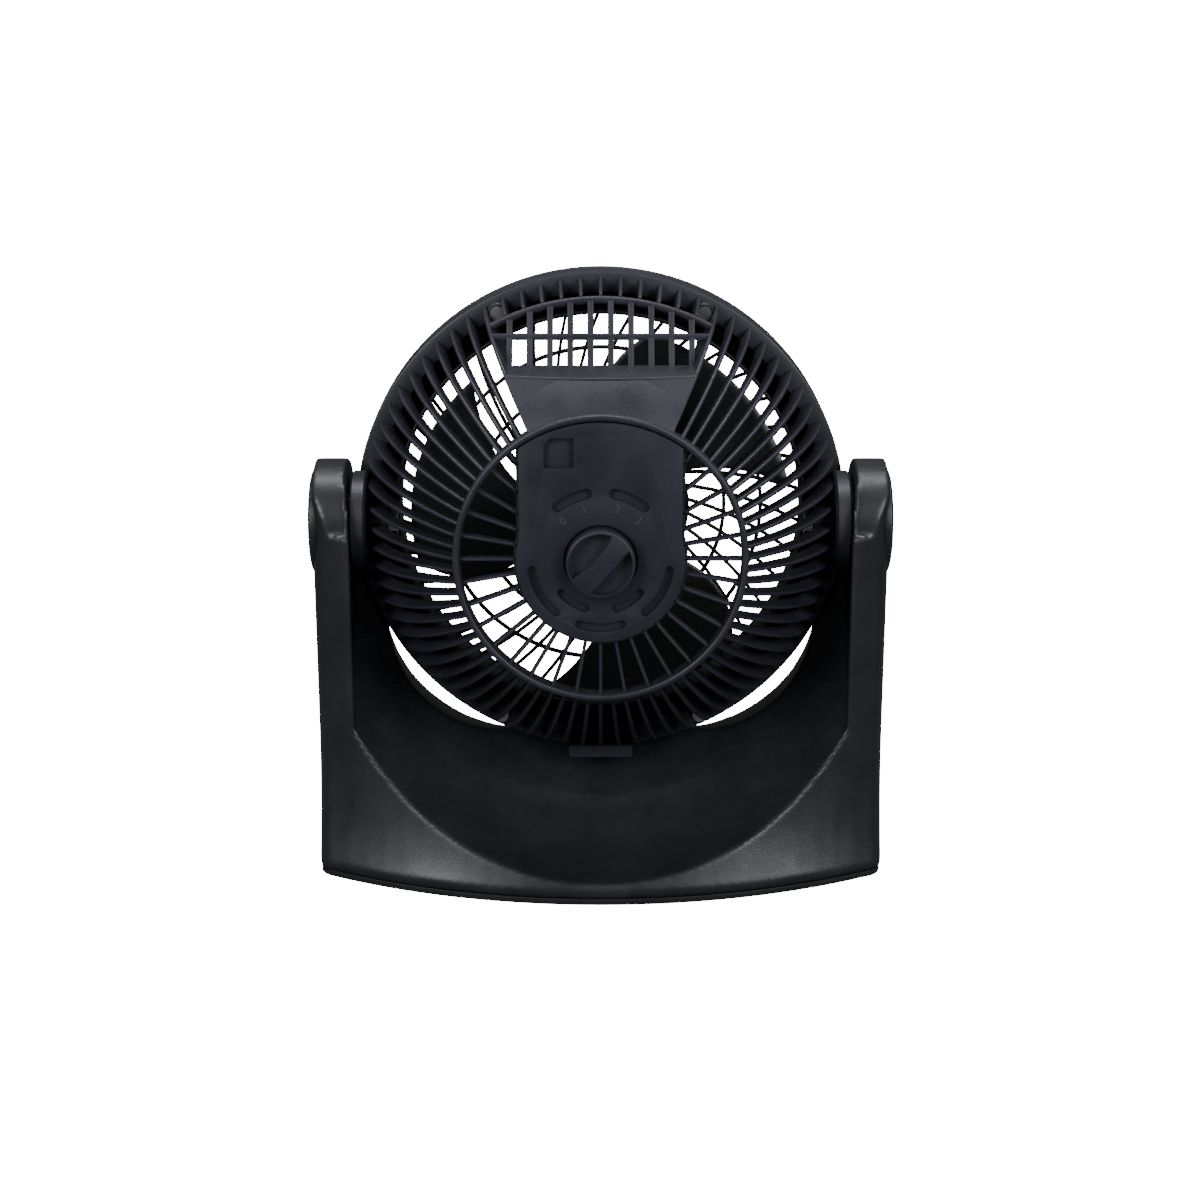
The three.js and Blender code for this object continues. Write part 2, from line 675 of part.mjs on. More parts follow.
function bottomTab() {
  const half = TAB_WIDTH / 2;
  return box(-half, half, TAB_REAR, RIM_REAR + 1, -TAB_DROP, TAB_THICKNESS - TAB_DROP);
}

function rimBand() {
  const inner = RIM_RADIUS - RIM_WALL;
  const lip = RIM_RADIUS - RIM_FLANGE;
  const front = RIM_REAR + RIM_FLANGE_THICKNESS;
  const profile = [
    [lip, RIM_REAR],
    [RIM_RADIUS, RIM_REAR],
    [RIM_RADIUS, RIM_FRONT],
    [inner, RIM_FRONT],
    [inner, front],
    [lip, front],
    [lip, RIM_REAR],
  ];
  return lathe(profile, RIM_FACETS);
}

function rearHousing() {
  const ringInner = RING_RADIUS - RING_WIDTH;
  const ring = tube(RING_RADIUS, ringInner, RING_REAR, RING_REAR + RING_DEPTH, RIM_FACETS);
  const sill = windowSill().add(windowStrip());
  const window = join([windowPanel(), sill, windowArch(), windowGrid()]);
  const panel = window.intersect(windowWedge());
  const posts = postPlaces().map(([x, z]) => moved(
    disc(POST_RADIUS, POST_REAR, RIM_FRONT, 8), x, 0, z));
  const bosses = [-1, 1].map((side) => pivotBoss(side));
  const bowl = join([rimBand(), ring, ...outerRibs(), ...windowSides(), panel]);
  const motorSeat = [...innerRibs(), motorCup(), ...motorPosts()];
  const body = join([bowl, ...motorSeat, ...posts, ...bosses, bottomTab()]);
  const drill = HOUSING_SCREW_RADIUS + RUN_GAP;
  const holes = postPlaces().map(([x, z]) => moved(
    disc(drill, POST_REAR - 1, RIM_FRONT + 1, 8), x, 0, z));
  const shaftRoom = SWITCH_SHAFT_RADIUS + SWITCH_SHAFT_GAP;
  const shaftHole = disc(shaftRoom, CUP_REAR - 1, CUP_REAR + CUP_FLOOR + 1, 12);
  const inletHole = disc(INLET_RADIUS + RUN_GAP, -HUB_RADIUS - 1, -HUB_RADIUS + CUP_WALL + 1, 12);
  const bores = [-1, 1].map((side) => pivotBore(side));
  return cut(body, [...holes, shaftHole, moved(alongZ(inletHole), 0, INLET_Y, 0), ...bores]);
}

function alongZ(body) {
  const geometry = geometryOf(body);
  geometry.rotateX(Math.PI / 2);
  return solid(geometry);
}

// --------------------------------------------------------- cover and its dial
function arcPoints(x, z, radius, from, to, steps) {
  const points = [];
  for (let i = 0; i <= steps; i += 1) {
    const angle = from + ((to - from) * i) / steps;
    points.push(new THREE.Vector2(x + radius * Math.cos(angle), z + radius * Math.sin(angle)));
  }
  return points;
}

// a slot with round ends, between two angles in degrees clockwise from the top
function arcSlot(radius, width, start, end) {
  const half = width / 2;
  const from = Math.PI / 2 - rad(end);
  const to = Math.PI / 2 - rad(start);
  const steps = 3;
  const endAt = (angle, first) => arcPoints(
    radius * Math.cos(angle), radius * Math.sin(angle), half, first, first + Math.PI, steps,
  ).slice(1, -1);
  return new THREE.Path([
    ...arcPoints(0, 0, radius + half, from, to, steps),
    ...endAt(to, to),
    ...arcPoints(0, 0, radius - half, to, from, steps),
    ...endAt(from, from + Math.PI),
  ]);
}

function pocketOutline() {
  const half = POCKET_SIZE / 2;
  const path = new THREE.Path();
  path.moveTo(POCKET_X - half, POCKET_Z - half);
  path.lineTo(POCKET_X + half, POCKET_Z - half);
  path.lineTo(POCKET_X + half, POCKET_Z + half);
  path.lineTo(POCKET_X - half + POCKET_CHAMFER, POCKET_Z + half);
  path.lineTo(POCKET_X - half, POCKET_Z + half - POCKET_CHAMFER);
  path.closePath();
  return path;
}

function motorCover() {
  const outline = coverOutline(0);
  const knobHole = arcPoints(0, 0, KNOB_RADIUS + KNOB_HOLE_GAP, 0, 2 * Math.PI, 24);
  outline.holes.push(new THREE.Path(knobHole.slice(1)));
  const slot = (radius, width, [start, end]) => {
    outline.holes.push(arcSlot(radius, width, start, end));
    outline.holes.push(arcSlot(radius, width, -end, -start));
  };
  slot(DIAL_SLOT_RADIUS, DIAL_SLOT_WIDTH, DIAL_SLOT);
  slot(VENT_RADIUS, SLOT_WIDTH, OUTER_VENT);
  slot(INNER_VENT_RADIUS, SLOT_WIDTH, INNER_VENT);
  outline.holes.push(arcSlot(VENT_RADIUS, SLOT_WIDTH, ...BOTTOM_VENT));
  outline.holes.push(pocketOutline());
  return slab(outline, COVER_REAR, COVER_REAR + COVER_THICKNESS, 8);
}

const KNOB_FRONT = CUP_REAR - SEAT_GAP;
const KNOB_REAR = COVER_REAR - KNOB_HEIGHT;

function knobPocket(side) {
  const radius = KNOB_RADIUS - KNOB_RIM;
  const start = Math.asin(KNOB_GRIP_HALF / radius);
  const shape = new THREE.Shape();
  shape.absarc(0, 0, radius, start - Math.PI / 2, Math.PI / 2 - start, false);
  const waist = side < 0 ? KNOB_GRIP_HALF * KNOB_WAIST : KNOB_GRIP_HALF;
  shape.quadraticCurveTo(waist, 0, KNOB_GRIP_HALF, -radius * Math.cos(start));
  const pocket = slab(shape, KNOB_REAR - 1, KNOB_REAR + KNOB_POCKET_DEPTH, 6);
  return side < 0 ? pocket.rotate([0, 180, 0]) : pocket;
}

function speedKnob() {
  const body = disc(KNOB_RADIUS, KNOB_REAR, KNOB_FRONT, 32);
  const bore = disc(SWITCH_SHAFT_RADIUS + RUN_GAP, KNOB_FRONT - KNOB_BORE_DEPTH, KNOB_FRONT + 1, 16);
  return cut(body, [knobPocket(1), knobPocket(-1), bore]).rotate([0, -KNOB_ANGLE, 0]);
}

const SWITCH_REAR = CUP_REAR + CUP_FLOOR + SEAT_GAP;

function rotarySwitch() {
  const half = SWITCH_WIDTH / 2;
  const rise = SWITCH_HEIGHT / 2;
  const body = box(-half, half, SWITCH_REAR, SWITCH_REAR + SWITCH_DEPTH, -rise, rise);
  const depth = SWITCH_REAR + SWITCH_DEPTH / 2;
  const bore = disc(SWITCH_SHAFT_RADIUS + RUN_GAP, SWITCH_REAR - 1, depth, 16);
  return body.subtract(bore);
}

function switchShaft() {
  const rear = KNOB_FRONT - KNOB_BORE_DEPTH + SEAT_GAP;
  return disc(SWITCH_SHAFT_RADIUS, rear, SWITCH_REAR + SWITCH_DEPTH / 2 - SEAT_GAP, 16);
}

function cordInlet() {
  const seat = HUB_RADIUS - CUP_WALL - INLET_FLANGE_GAP;
  const end = HUB_RADIUS + INLET_LENGTH;
  const flange = INLET_RADIUS + INLET_FLANGE;
  const profile = [
    [INLET_HOLE, seat - INLET_FLANGE_HEIGHT],
    [flange, seat - INLET_FLANGE_HEIGHT],
    [flange, seat],
    [INLET_RADIUS, seat],
    [INLET_RADIUS, HUB_RADIUS + SEAT_GAP],
    [flange, HUB_RADIUS + SEAT_GAP],
    [flange - INLET_TAPER, end],
    [INLET_HOLE, end],
    [INLET_HOLE, seat - INLET_FLANGE_HEIGHT],
  ].map(([radius, y]) => [radius, -y]);
  return moved(alongZ(lathe(profile, 16)), 0, INLET_Y, 0);
}

// -------------------------------------------------------------------- motor
const STATOR_FRONT = STATOR_REAR + STATOR_LENGTH;

function statorCore() {
  const bore = ROTOR_RADIUS + AIR_GAP;
  const core = tube(STATOR_RADIUS, bore, STATOR_REAR, STATOR_FRONT, 24);
  const slots = [];
  for (const [x, z] of windingBarPlaces()) {
    const slot = disc(WINDING_WALL / 2 + SEAT_GAP, STATOR_REAR - 1, STATOR_FRONT + 1, 8);
    slots.push(moved(slot, x, 0, z));
  }
  const screws = motorScrewPlaces().map(([x, z]) => moved(
    disc(MOTOR_SCREW_RADIUS + RUN_GAP, STATOR_REAR - 1, STATOR_FRONT + 1, 8), x, 0, z));
  return cut(core, [...slots, ...screws]);
}

function windingBarPlaces() {
  const places = [];
  const circle = WINDING_RADIUS - WINDING_WALL / 2 - SEAT_GAP;
  for (let i = 0; i < WINDING_SLOTS; i += 1) {
    const angle = (i * 2 * Math.PI) / WINDING_SLOTS;
    places.push([circle * Math.cos(angle), circle * Math.sin(angle)]);
  }
  return places;
}

function statorWinding() {
  const inner = WINDING_RADIUS - WINDING_WALL;
  const rear = STATOR_REAR - SEAT_GAP;
  const front = STATOR_FRONT + SEAT_GAP;
  const ends = [
    tube(WINDING_RADIUS, inner, rear - WINDING_LENGTH, rear, 20),
    tube(WINDING_RADIUS, inner, front, front + WINDING_LENGTH, 20),
  ];
  const bars = windingBarPlaces().map(([x, z]) => moved(
    disc(WINDING_WALL / 2, rear - 1, front + 1, 8), x, 0, z));
  return join([...ends, ...bars]);
}

const REAR_BRACKET = STATOR_REAR - BRACKET_GAP;
const FRONT_BRACKET = STATOR_FRONT + BRACKET_GAP;

// direction +1 for the front bracket, whose plate lies ahead of the core
function motorBracket(face, direction) {
  const [y0, y1] = [face, face + direction * BRACKET_THICKNESS].sort((a, b) => a - b);
  const plate = disc(STATOR_RADIUS, y0, y1, 24);
  const rimEnd = face - direction * (BRACKET_GAP - SEAT_GAP);
  const [r0, r1] = [face, rimEnd].sort((a, b) => a - b);
  const skirt = tube(STATOR_RADIUS, STATOR_RADIUS - BRACKET_WALL, r0, r1, 24);
  const screws = motorScrewPlaces().map(([x, z]) => moved(
    disc(MOTOR_SCREW_RADIUS + RUN_GAP, r0 - BRACKET_GAP, r1 + BRACKET_GAP, 8), x, 0, z));
  const pocket = disc(BEARING_RADIUS + SEAT_GAP / 2, y0 - 1, y1 + 1, 16);
  return cut(join([plate, skirt]), [pocket, ...screws]);
}

function bearing(face, direction) {
  const y0 = face + direction * (BRACKET_THICKNESS / 2) - BEARING_LENGTH / 2;
  return tube(BEARING_RADIUS, MOTOR_SHAFT_RADIUS + RUN_GAP, y0, y0 + BEARING_LENGTH, 16);
}

function rotor() {
  const y0 = STATOR_REAR - 1;
  const y1 = STATOR_FRONT + 1;
  const body = disc(ROTOR_RADIUS, y0, y1, 24);
  return body.subtract(disc(MOTOR_SHAFT_RADIUS + THREAD_GAP, y0 - 1, y1 + 1, 12));
}

const SHAFT_REAR = REAR_BRACKET - BRACKET_THICKNESS - SHAFT_TAIL;
const SHAFT_FRONT = BLADE_FRONT + SPINNER_LENGTH - 1;

function motorShaft() {
  return disc(MOTOR_SHAFT_RADIUS, SHAFT_REAR, SHAFT_FRONT, 12);
}

function motorScrew([x, z]) {
  const headFace = FRONT_BRACKET + BRACKET_THICKNESS + SEAT_GAP;
  const tip = CUP_REAR + CUP_FLOOR + MOTOR_SCREW_RADIUS;
  const head = disc(MOTOR_SCREW_HEAD, headFace, headFace + MOTOR_SCREW_HEAD_HEIGHT, 8);
  const shank = disc(MOTOR_SCREW_RADIUS, tip, headFace + 1, 8);
  return moved(join([head, shank]), x, 0, z);
}

// ----------------------------------------------------------------- impeller
function bladeWing(index) {
  const steps = 6;
  const rows = 3;
  const start = rad(BLADE_PHASE) + (index * 2 * Math.PI) / BLADE_COUNT;
  const sweep = rad(BLADE_SWEEP);
  const root = BLADE_HUB_RADIUS - BLADE_ROOT;
  const positions = [];
  const half = BLADE_THICKNESS / 2;
  const edge = half + SEAT_GAP;
  for (const side of [-half, half]) {
    for (let row = 0; row <= rows; row += 1) {
      const v = row / rows;
      const radius = root + v * (BLADE_RADIUS - root);
      const lag = rad(BLADE_LAG) * v * v;
      const widening = (1 - BLADE_ROOT_SPREAD) * Math.sin((v * Math.PI) / 1.6);
      const spread = sweep * (BLADE_ROOT_SPREAD + widening);
      for (let step = 0; step <= steps; step += 1) {
        const u = step / steps;
        const angle = start + lag + spread * (u - 0.5);
        const rise = BLADE_REAR + edge + (BLADE_FRONT - BLADE_REAR - 2 * edge) * (1 - u);
        const twist = (1 - BLADE_FLATTENING * v) * (rise - BLADE_MIDDLE) + BLADE_MIDDLE;
        positions.push(radius * Math.sin(angle), twist + side, radius * Math.cos(angle));
      }
    }
  }
  const width = steps + 1;
  const layer = width * (rows + 1);
  const index3 = [];
  const quad = (a, b, c, d) => index3.push(a, b, c, a, c, d);
  for (let row = 0; row < rows; row += 1) {
    for (let step = 0; step < steps; step += 1) {
      const a = row * width + step;
      quad(a, a + 1, a + width + 1, a + width);
      quad(layer + a, layer + a + width, layer + a + width + 1, layer + a + 1);
    }
  }
  for (let step = 0; step < steps; step += 1) {
    const top = rows * width + step;
    quad(step, layer + step, layer + step + 1, step + 1);
    quad(top, top + 1, layer + top + 1, layer + top);
  }
  for (let row = 0; row < rows; row += 1) {
    const left = row * width;
    const right = left + steps;
    quad(left, left + width, layer + left + width, layer + left);
    quad(right, layer + right, layer + right + width, right + width);
  }
  const geometry = new THREE.BufferGeometry();
  geometry.setAttribute('position', new THREE.Float32BufferAttribute(positions, 3));
  geometry.setIndex(index3);
  return solid(geometry);
}

function fanBlade() {
  const inner = BLADE_HUB_RADIUS - BLADE_HUB_WALL;
  const face = BLADE_FRONT - BLADE_HUB_FACE;
  const shell = [
    [0, BLADE_FRONT],
    [BLADE_HUB_RADIUS - BLADE_HUB_CHAMFER, BLADE_FRONT],
    [BLADE_HUB_RADIUS, BLADE_FRONT - BLADE_HUB_CHAMFER],
    [BLADE_HUB_RADIUS, BLADE_REAR],
    [inner, BLADE_REAR],
    [inner, face],
    [MOTOR_SHAFT_RADIUS + BLADE_BORE_WALL, face],
    [MOTOR_SHAFT_RADIUS + BLADE_BORE_WALL, BLADE_REAR + BLADE_HUB_CHAMFER],
    [0, BLADE_REAR + BLADE_HUB_CHAMFER],
  ];
  const wings = [];
  for (let i = 0; i < BLADE_COUNT; i += 1) {
    wings.push(bladeWing(i));
  }
  const hub = lathe(shell, 24);
  const core = disc(inner, BLADE_REAR - BLADE_HUB_FACE, face, 24);
  const trimmed = join(wings).subtract(core);
  const bore = disc(MOTOR_SHAFT_RADIUS + THREAD_GAP, BLADE_REAR - 1, BLADE_FRONT + 1, 12);
  return join([hub, trimmed]).subtract(bore);
}

function spinnerNut() {
  const y0 = BLADE_FRONT + SEAT_GAP;
  const profile = [
    [0, y0],
    [SPINNER_RADIUS, y0],
    [SPINNER_RADIUS, y0 + SPINNER_LENGTH * SPINNER_TAPER],
    [SPINNER_RADIUS * SPINNER_TAPER, y0 + SPINNER_LENGTH],
    [0, y0 + SPINNER_LENGTH],
  ];
  const bore = disc(MOTOR_SHAFT_RADIUS + THREAD_GAP, y0 - 1, SHAFT_FRONT + SEAT_GAP, 12);
  return lathe(profile, 16).subtract(bore);
}

// ------------------------------------------------------ front bezel and grille
const BEZEL_REAR = RIM_FRONT + SEAT_GAP;
const GRILLE_SEAT = GRILLE_REAR + GRILLE_DEPTH + SEAT_GAP;

function frontBezel() {
  const profile = [[BEZEL_INNER, GRILLE_SEAT]];
  profile.push([RIM_RADIUS - RIM_WALL, GRILLE_SEAT]);
  profile.push([RIM_RADIUS - RIM_WALL, BEZEL_REAR]);
  const steps = 2;
  const centre = BEZEL_FRONT - BEZEL_ROUND;
  for (let i = 0; i <= steps; i += 1) {
    const angle = (i * Math.PI) / 2 / steps;
    const radius = RIM_RADIUS - BEZEL_ROUND + BEZEL_ROUND * Math.cos(angle);
    if (i === 0) {
      profile.push([RIM_RADIUS, BEZEL_REAR]);
    }
    profile.push([radius, centre + BEZEL_ROUND * Math.sin(angle)]);
  }
  profile.push([BEZEL_INNER, BEZEL_FRONT]);
  profile.push(profile[0]);
  const ring = lathe(profile, RIM_FACETS);
  const bosses = postPlaces().map(([x, z]) => moved(
    disc(POST_RADIUS, BEZEL_REAR, BEZEL_FRONT - BEZEL_FACE, 8), x, 0, z));
  const drill = HOUSING_SCREW_RADIUS + RUN_GAP;
  const holes = postPlaces().map(([x, z]) => moved(
    disc(drill, BEZEL_REAR - 1, POST_REAR + HOUSING_SCREW_LENGTH + SEAT_GAP, 8), x, 0, z));
  return cut(join([ring, ...bosses]), holes);
}

const SPOKE_START = CAP_RADIUS - CAP_SEAT;
const SPOKE_END = BEZEL_INNER + 1;

// how far a spoke has turned by the time it reaches a radius
function spokeAngle(radius) {
  return rad(SPOKE_TURN) * Math.sqrt((radius - SPOKE_START) / (SPOKE_END - SPOKE_START));
}

function grilleSpoke(index) {
  const start = (index * 2 * Math.PI) / SPOKE_COUNT;
  const left = [];
  const right = [];
  for (let i = 0; i <= SPOKE_STEPS; i += 1) {
    const radius = SPOKE_START + ((SPOKE_END - SPOKE_START) * i) / SPOKE_STEPS;
    const angle = start + spokeAngle(radius);
    const half = Math.asin(SPOKE_THICKNESS / 2 / radius);
    left.push(new THREE.Vector2(radius * Math.sin(angle - half), radius * Math.cos(angle - half)));
    right.push(new THREE.Vector2(radius * Math.sin(angle + half), radius * Math.cos(angle + half)));
  }
  const shape = new THREE.Shape(left.concat(right.reverse()));
  return slab(shape, GRILLE_REAR, GRILLE_REAR + GRILLE_DEPTH);
}

function frontGrille() {
  const front = GRILLE_REAR + GRILLE_DEPTH;
  const pieces = [];
  for (let i = 0; i < SPOKE_COUNT; i += 1) {
    pieces.push(grilleSpoke(i));
  }
  // each ring's corners lie inside the spokes that cross it
  const ring = (outer, width, rear) => tube(
    outer, outer - width, rear, front, SPOKE_COUNT, spokeAngle(outer - width / 2));
  for (let i = 1; i <= GRILLE_RING_COUNT; i += 1) {
    pieces.push(ring(BEZEL_INNER - i * GRILLE_RING_PITCH, GRILLE_RING_WIDTH, GRILLE_REAR));
  }
  pieces.push(ring(SHROUD_RADIUS, SHROUD_WALL, SHROUD_REAR));
  pieces.push(ring(GRILLE_RADIUS, GRILLE_RADIUS - BEZEL_INNER, GRILLE_REAR));
  pieces.push(disc(CAP_RADIUS, GRILLE_REAR, front, SPOKE_COUNT));
  return join(pieces);
}

function centreCap() {
  const y0 = GRILLE_SEAT;
  const top = y0 + CAP_DOME;
  return lathe([
    [0, y0],
    [CAP_RADIUS, y0],
    [CAP_RADIUS, y0 + CAP_EDGE],
    [CAP_RADIUS * 0.75, top - CAP_DOME * 0.2],
    [CAP_RADIUS * 0.4, top],
    [0, top],
  ], 24);
}

function housingScrew([x, z]) {
  const headFront = POST_REAR - SEAT_GAP;
  const head = disc(HOUSING_SCREW_HEAD, headFront - HOUSING_SCREW_HEAD_HEIGHT, headFront, 10);
  const shank = disc(HOUSING_SCREW_RADIUS, headFront - 1, POST_REAR + HOUSING_SCREW_LENGTH, 8);
  return moved(join([head, shank]), x, 0, z);
}

// ---------------------------------------------------------------------- base
function sag(x) {
  return LIP_CURVE - Math.sqrt(LIP_CURVE * LIP_CURVE - x * x);
}

function sweepIn(z, depth) {
  if (z <= SKIRT_TOP) {
    return 0;
  }
  if (z <= LIP_TOP) {
    return (LIP_CHAMFER * (z - SKIRT_TOP)) / (LIP_TOP - SKIRT_TOP);
  }
  const run = depth - LIP_CHAMFER;
  const rise = SWEEP_TOP - LIP_TOP;
  const radius = (run * run + rise * rise) / (2 * run);
  const drop = Math.max(0, SWEEP_TOP - z);
  return depth - (radius - Math.sqrt(radius * radius - drop * drop));
}

// one closed outline of the base at a height, as [x, y] points
function footprint(z, wall) {
  const half = ARM_OUTER - wall;
  const lipSteps = wall > 1 ? 4 : 8;
  const cornerSteps = 2;
  const ends = [
    { sign: -1, reach: -BASE_REAR - wall - sweepIn(z, REAR_SWEEP) },
    { sign: 1, reach: BASE_FRONT - wall - sweepIn(z, FRONT_SWEEP) },
  ];
  const points = [];
  for (const { sign, reach } of ends) {
    const slope = Math.asin(half / LIP_CURVE);
    const bend = Math.PI / 2 - slope;
    const radius = CORNER_RADIUS - wall;
    const along = radius * Math.tan(bend / 2);
    const cornerY = reach - sag(half);
    const start = half - along * Math.cos(slope);
    const run = [];
    for (let i = 0; i <= lipSteps; i += 1) {
      const x = -start + (2 * start * i) / lipSteps;
      run.push([x, reach - sag(x)]);
    }
    const corner = [];
    const cx = half - radius;
    const cy = cornerY - along;
    for (let i = 1; i <= cornerSteps; i += 1) {
      const angle = Math.PI / 2 - slope - (bend * i) / cornerSteps;
      corner.push([cx + radius * Math.cos(angle), cy + radius * Math.sin(angle)]);
    }
    const mirrored = corner.map(([x, y]) => [-x, y]).reverse();
    const whole = [...mirrored, ...run, ...corner];
    points.push(...whole.map(([x, y]) => [-sign * x, sign * y]));
  }
  return points;
}

function loft(levels, outlineAt) {
  const rings = levels.map((z) => outlineAt(z));
  const count = rings[0].length;
  const positions = [];
  rings.forEach((ring, level) => ring.forEach(([x, y]) => positions.push(x, y, levels[level])));
  const index = [];
  for (let level = 0; level + 1 < rings.length; level += 1) {
    for (let i = 0; i < count; i += 1) {
      const a = level * count + i;
      const b = level * count + ((i + 1) % count);
      index.push(a, b, b + count, a, b + count, a + count);
    }
  }
  const caps = [0, rings.length - 1];
  for (const level of caps) {
    const outline = rings[level].map(([x, y]) => new THREE.Vector2(x, y));
    for (const [a, b, c] of THREE.ShapeUtils.triangulateShape(outline, [])) {
      const offset = level * count;
      index.push(...(level === 0 ? [c, b, a] : [a, b, c]).map((i) => i + offset));
    }
  }
  const geometry = new THREE.BufferGeometry();
  geometry.setAttribute('position', new THREE.Float32BufferAttribute(positions, 3));
  geometry.setIndex(index);
  return solid(geometry);
}

// side view of the base, drawn with Y across and Z up
function sideView(wall, bottom) {
  const radius = ARM_END_RADIUS - wall;
  const geometry = new THREE.CylinderGeometry(radius, radius, 4 * ARM_OUTER, 24);
  geometry.rotateZ(Math.PI / 2);
  geometry.translate(0, 0, PIVOT_HEIGHT);
  const reach = 2 * BASE_FRONT;
  const lower = box(-2 * ARM_OUTER, 2 * ARM_OUTER, -reach, reach, bottom, PIVOT_HEIGHT);
  return join([solid(geometry), lower]);
}

// the saddle's slopes lie at about 45 degrees, so the wall is measured across them
function saddleProfile(wall) {
  const ridge = RIDGE_RADIUS + wall * Math.SQRT2;
  const arc = (start, end) => {
    const run = Math.abs(end - start);
    const radius = (run * run + SADDLE_DROP * SADDLE_DROP) / (2 * SADDLE_DROP);
    const steps = 4;
    const points = [];
    for (let i = 0; i < steps; i += 1) {
      const y = start + ((end - start) * i) / steps;
      const off = end - y;
      points.push([ridge + SADDLE_DROP - radius + Math.sqrt(radius * radius - off * off), y]);
    }
    points.push([ridge + SADDLE_DROP, end]);
    return points;
  };
  const far = 2 * BASE_FRONT;
  const rear = arc(RIDGE_REAR, SADDLE_REAR_END).reverse();
  const front = arc(RIDGE_FRONT, SADDLE_FRONT_END);
  const lip = ridge + SADDLE_DROP;
  return [[0, -far], [lip, -far], ...rear, ...front, [lip, far], [0, far]];
}

// everything between the arms that is open
function cradle(wall) {
  const round = moved(lathe(saddleProfile(wall), wall > 0 ? 24 : 40), 0, 0, PIVOT_HEIGHT);
  const inner = ARM_INNER + wall;
  const rearInner = ARM_REAR_INNER + wall;
  const far = 2 * BASE_FRONT;
  const plan = new THREE.Shape([
    new THREE.Vector2(-rearInner, -far),
    new THREE.Vector2(rearInner, -far),
    new THREE.Vector2(rearInner, BASE_REAR / 2),
    new THREE.Vector2(inner, ARM_TAPER_START),
    new THREE.Vector2(inner, far),
    new THREE.Vector2(-inner, far),
    new THREE.Vector2(-inner, ARM_TAPER_START),
    new THREE.Vector2(-rearInner, BASE_REAR / 2),
  ]);
  const settings = { depth: 2 * PIVOT_HEIGHT, bevelEnabled: false };
  const between = solid(new THREE.ExtrudeGeometry(plan, settings));
  const lowerHalf = round.intersect(between);
  const upper = between.subtract(box(-far, far, -far, far, -1, PIVOT_HEIGHT));
  const half = CRADLE_HALF_WIDTH + wall;
  const corner = CRADLE_CORNER + wall;
  const depth = CRADLE_DEPTH + wall;
  const outline = new THREE.Shape();
  outline.moveTo(-half, 0);
  outline.lineTo(-half, corner - depth);
  outline.absarc(corner - half, corner - depth, corner, Math.PI, 1.5 * Math.PI, false);
  outline.absarc(half - corner, corner - depth, corner, 1.5 * Math.PI, 2 * Math.PI, false);
  outline.lineTo(half, 0);
  const channel = moved(slab(outline, -far, far, 5), 0, 0, PIVOT_HEIGHT);
  return join([lowerHalf, upper, channel]);
}

function armX(body, side) {
  return moved(alongX(body, side), 0, 0, PIVOT_HEIGHT);
}

const YOKE_BOTTOM = COVER_BOTTOM + BOTTOM_COVER_THICKNESS + SEAT_GAP;
const YOKE_LEVELS = [YOKE_BOTTOM, SKIRT_TOP, LIP_TOP, 28, 48, SWEEP_TOP, 240];

function yokeBlock(wall, bottom) {
  const levels = YOKE_LEVELS.slice();
  levels[0] = bottom;
  const block = loft(levels, (z) => footprint(z, wall));
  return block.intersect(sideView(wall, bottom - 1)).subtract(cradle(wall));
}

function baseScrewPlaces() {
  const places = [];
  for (const x of [-BASE_SCREW_X, BASE_SCREW_X]) {
    places.push([x, BASE_SCREW_REAR_Y], [x, BASE_SCREW_FRONT_Y]);
  }
  return places;
}

function upright(radius, z0, z1, segments, [x, y]) {
  const geometry = new THREE.CylinderGeometry(radius, radius, z1 - z0, segments);
  geometry.rotateX(Math.PI / 2);
  geometry.translate(x, y, (z0 + z1) / 2);
  return solid(geometry);
}

function baseYoke() {
  const shell = yokeBlock(0, YOKE_BOTTOM);
  let hollow = yokeBlock(BASE_WALL, YOKE_BOTTOM - 5);
  for (const side of [-1, 1]) {
    const block = disc(PIVOT_BLOCK_RADIUS, ARM_INNER - ARM_THICKNESS, ARM_OUTER + ARM_THICKNESS, 16);
    hollow = hollow.subtract(armX(block, side));
  }
  for (const place of baseScrewPlaces()) {
    hollow = hollow.subtract(upright(BASE_POST_RADIUS, 0, SWEEP_TOP, 8, place));
  }
  const tools = [hollow];
  for (const side of [-1, 1]) {
    tools.push(armX(disc(BUSH_OUTER + SEAT_GAP / 2, ARM_INNER - 5, ARM_OUTER, 16), side));
    tools.push(armX(disc(BOLT_RECESS_RADIUS, BOLT_RECESS_FLOOR, ARM_OUTER + 5, 20), side));
    const capSeat = ARM_OUTER - PIVOT_CAP_RECESS;
    tools.push(armX(disc(PIVOT_CAP_RADIUS + SEAT_GAP, capSeat, ARM_OUTER + 5, 32), side));
    tools.push(armX(disc(BOSS_RADIUS + TILT_GAP, 0, ARM_INNER, 24), side));
  }
  for (const place of baseScrewPlaces()) {
    const end = COVER_BOTTOM + BASE_SCREW_LENGTH + 1;
    tools.push(upright(BASE_SCREW_RADIUS + RUN_GAP, 0, end, 8, place));
  }
  return cut(shell, tools);
}

const FOOT_PLACES = [
  ['rear_left', -FOOT_X, FOOT_REAR_Y],
  ['rear_right', FOOT_X, FOOT_REAR_Y],
  ['front_left', -FOOT_X, FOOT_FRONT_Y],
  ['front_right', FOOT_X, FOOT_FRONT_Y],
];

// height of the face of a base screw's head that bears on the cover
const BASE_SCREW_SEAT = COVER_BOTTOM + BASE_SCREW_SINK + BASE_SCREW_HEAD_HEIGHT;

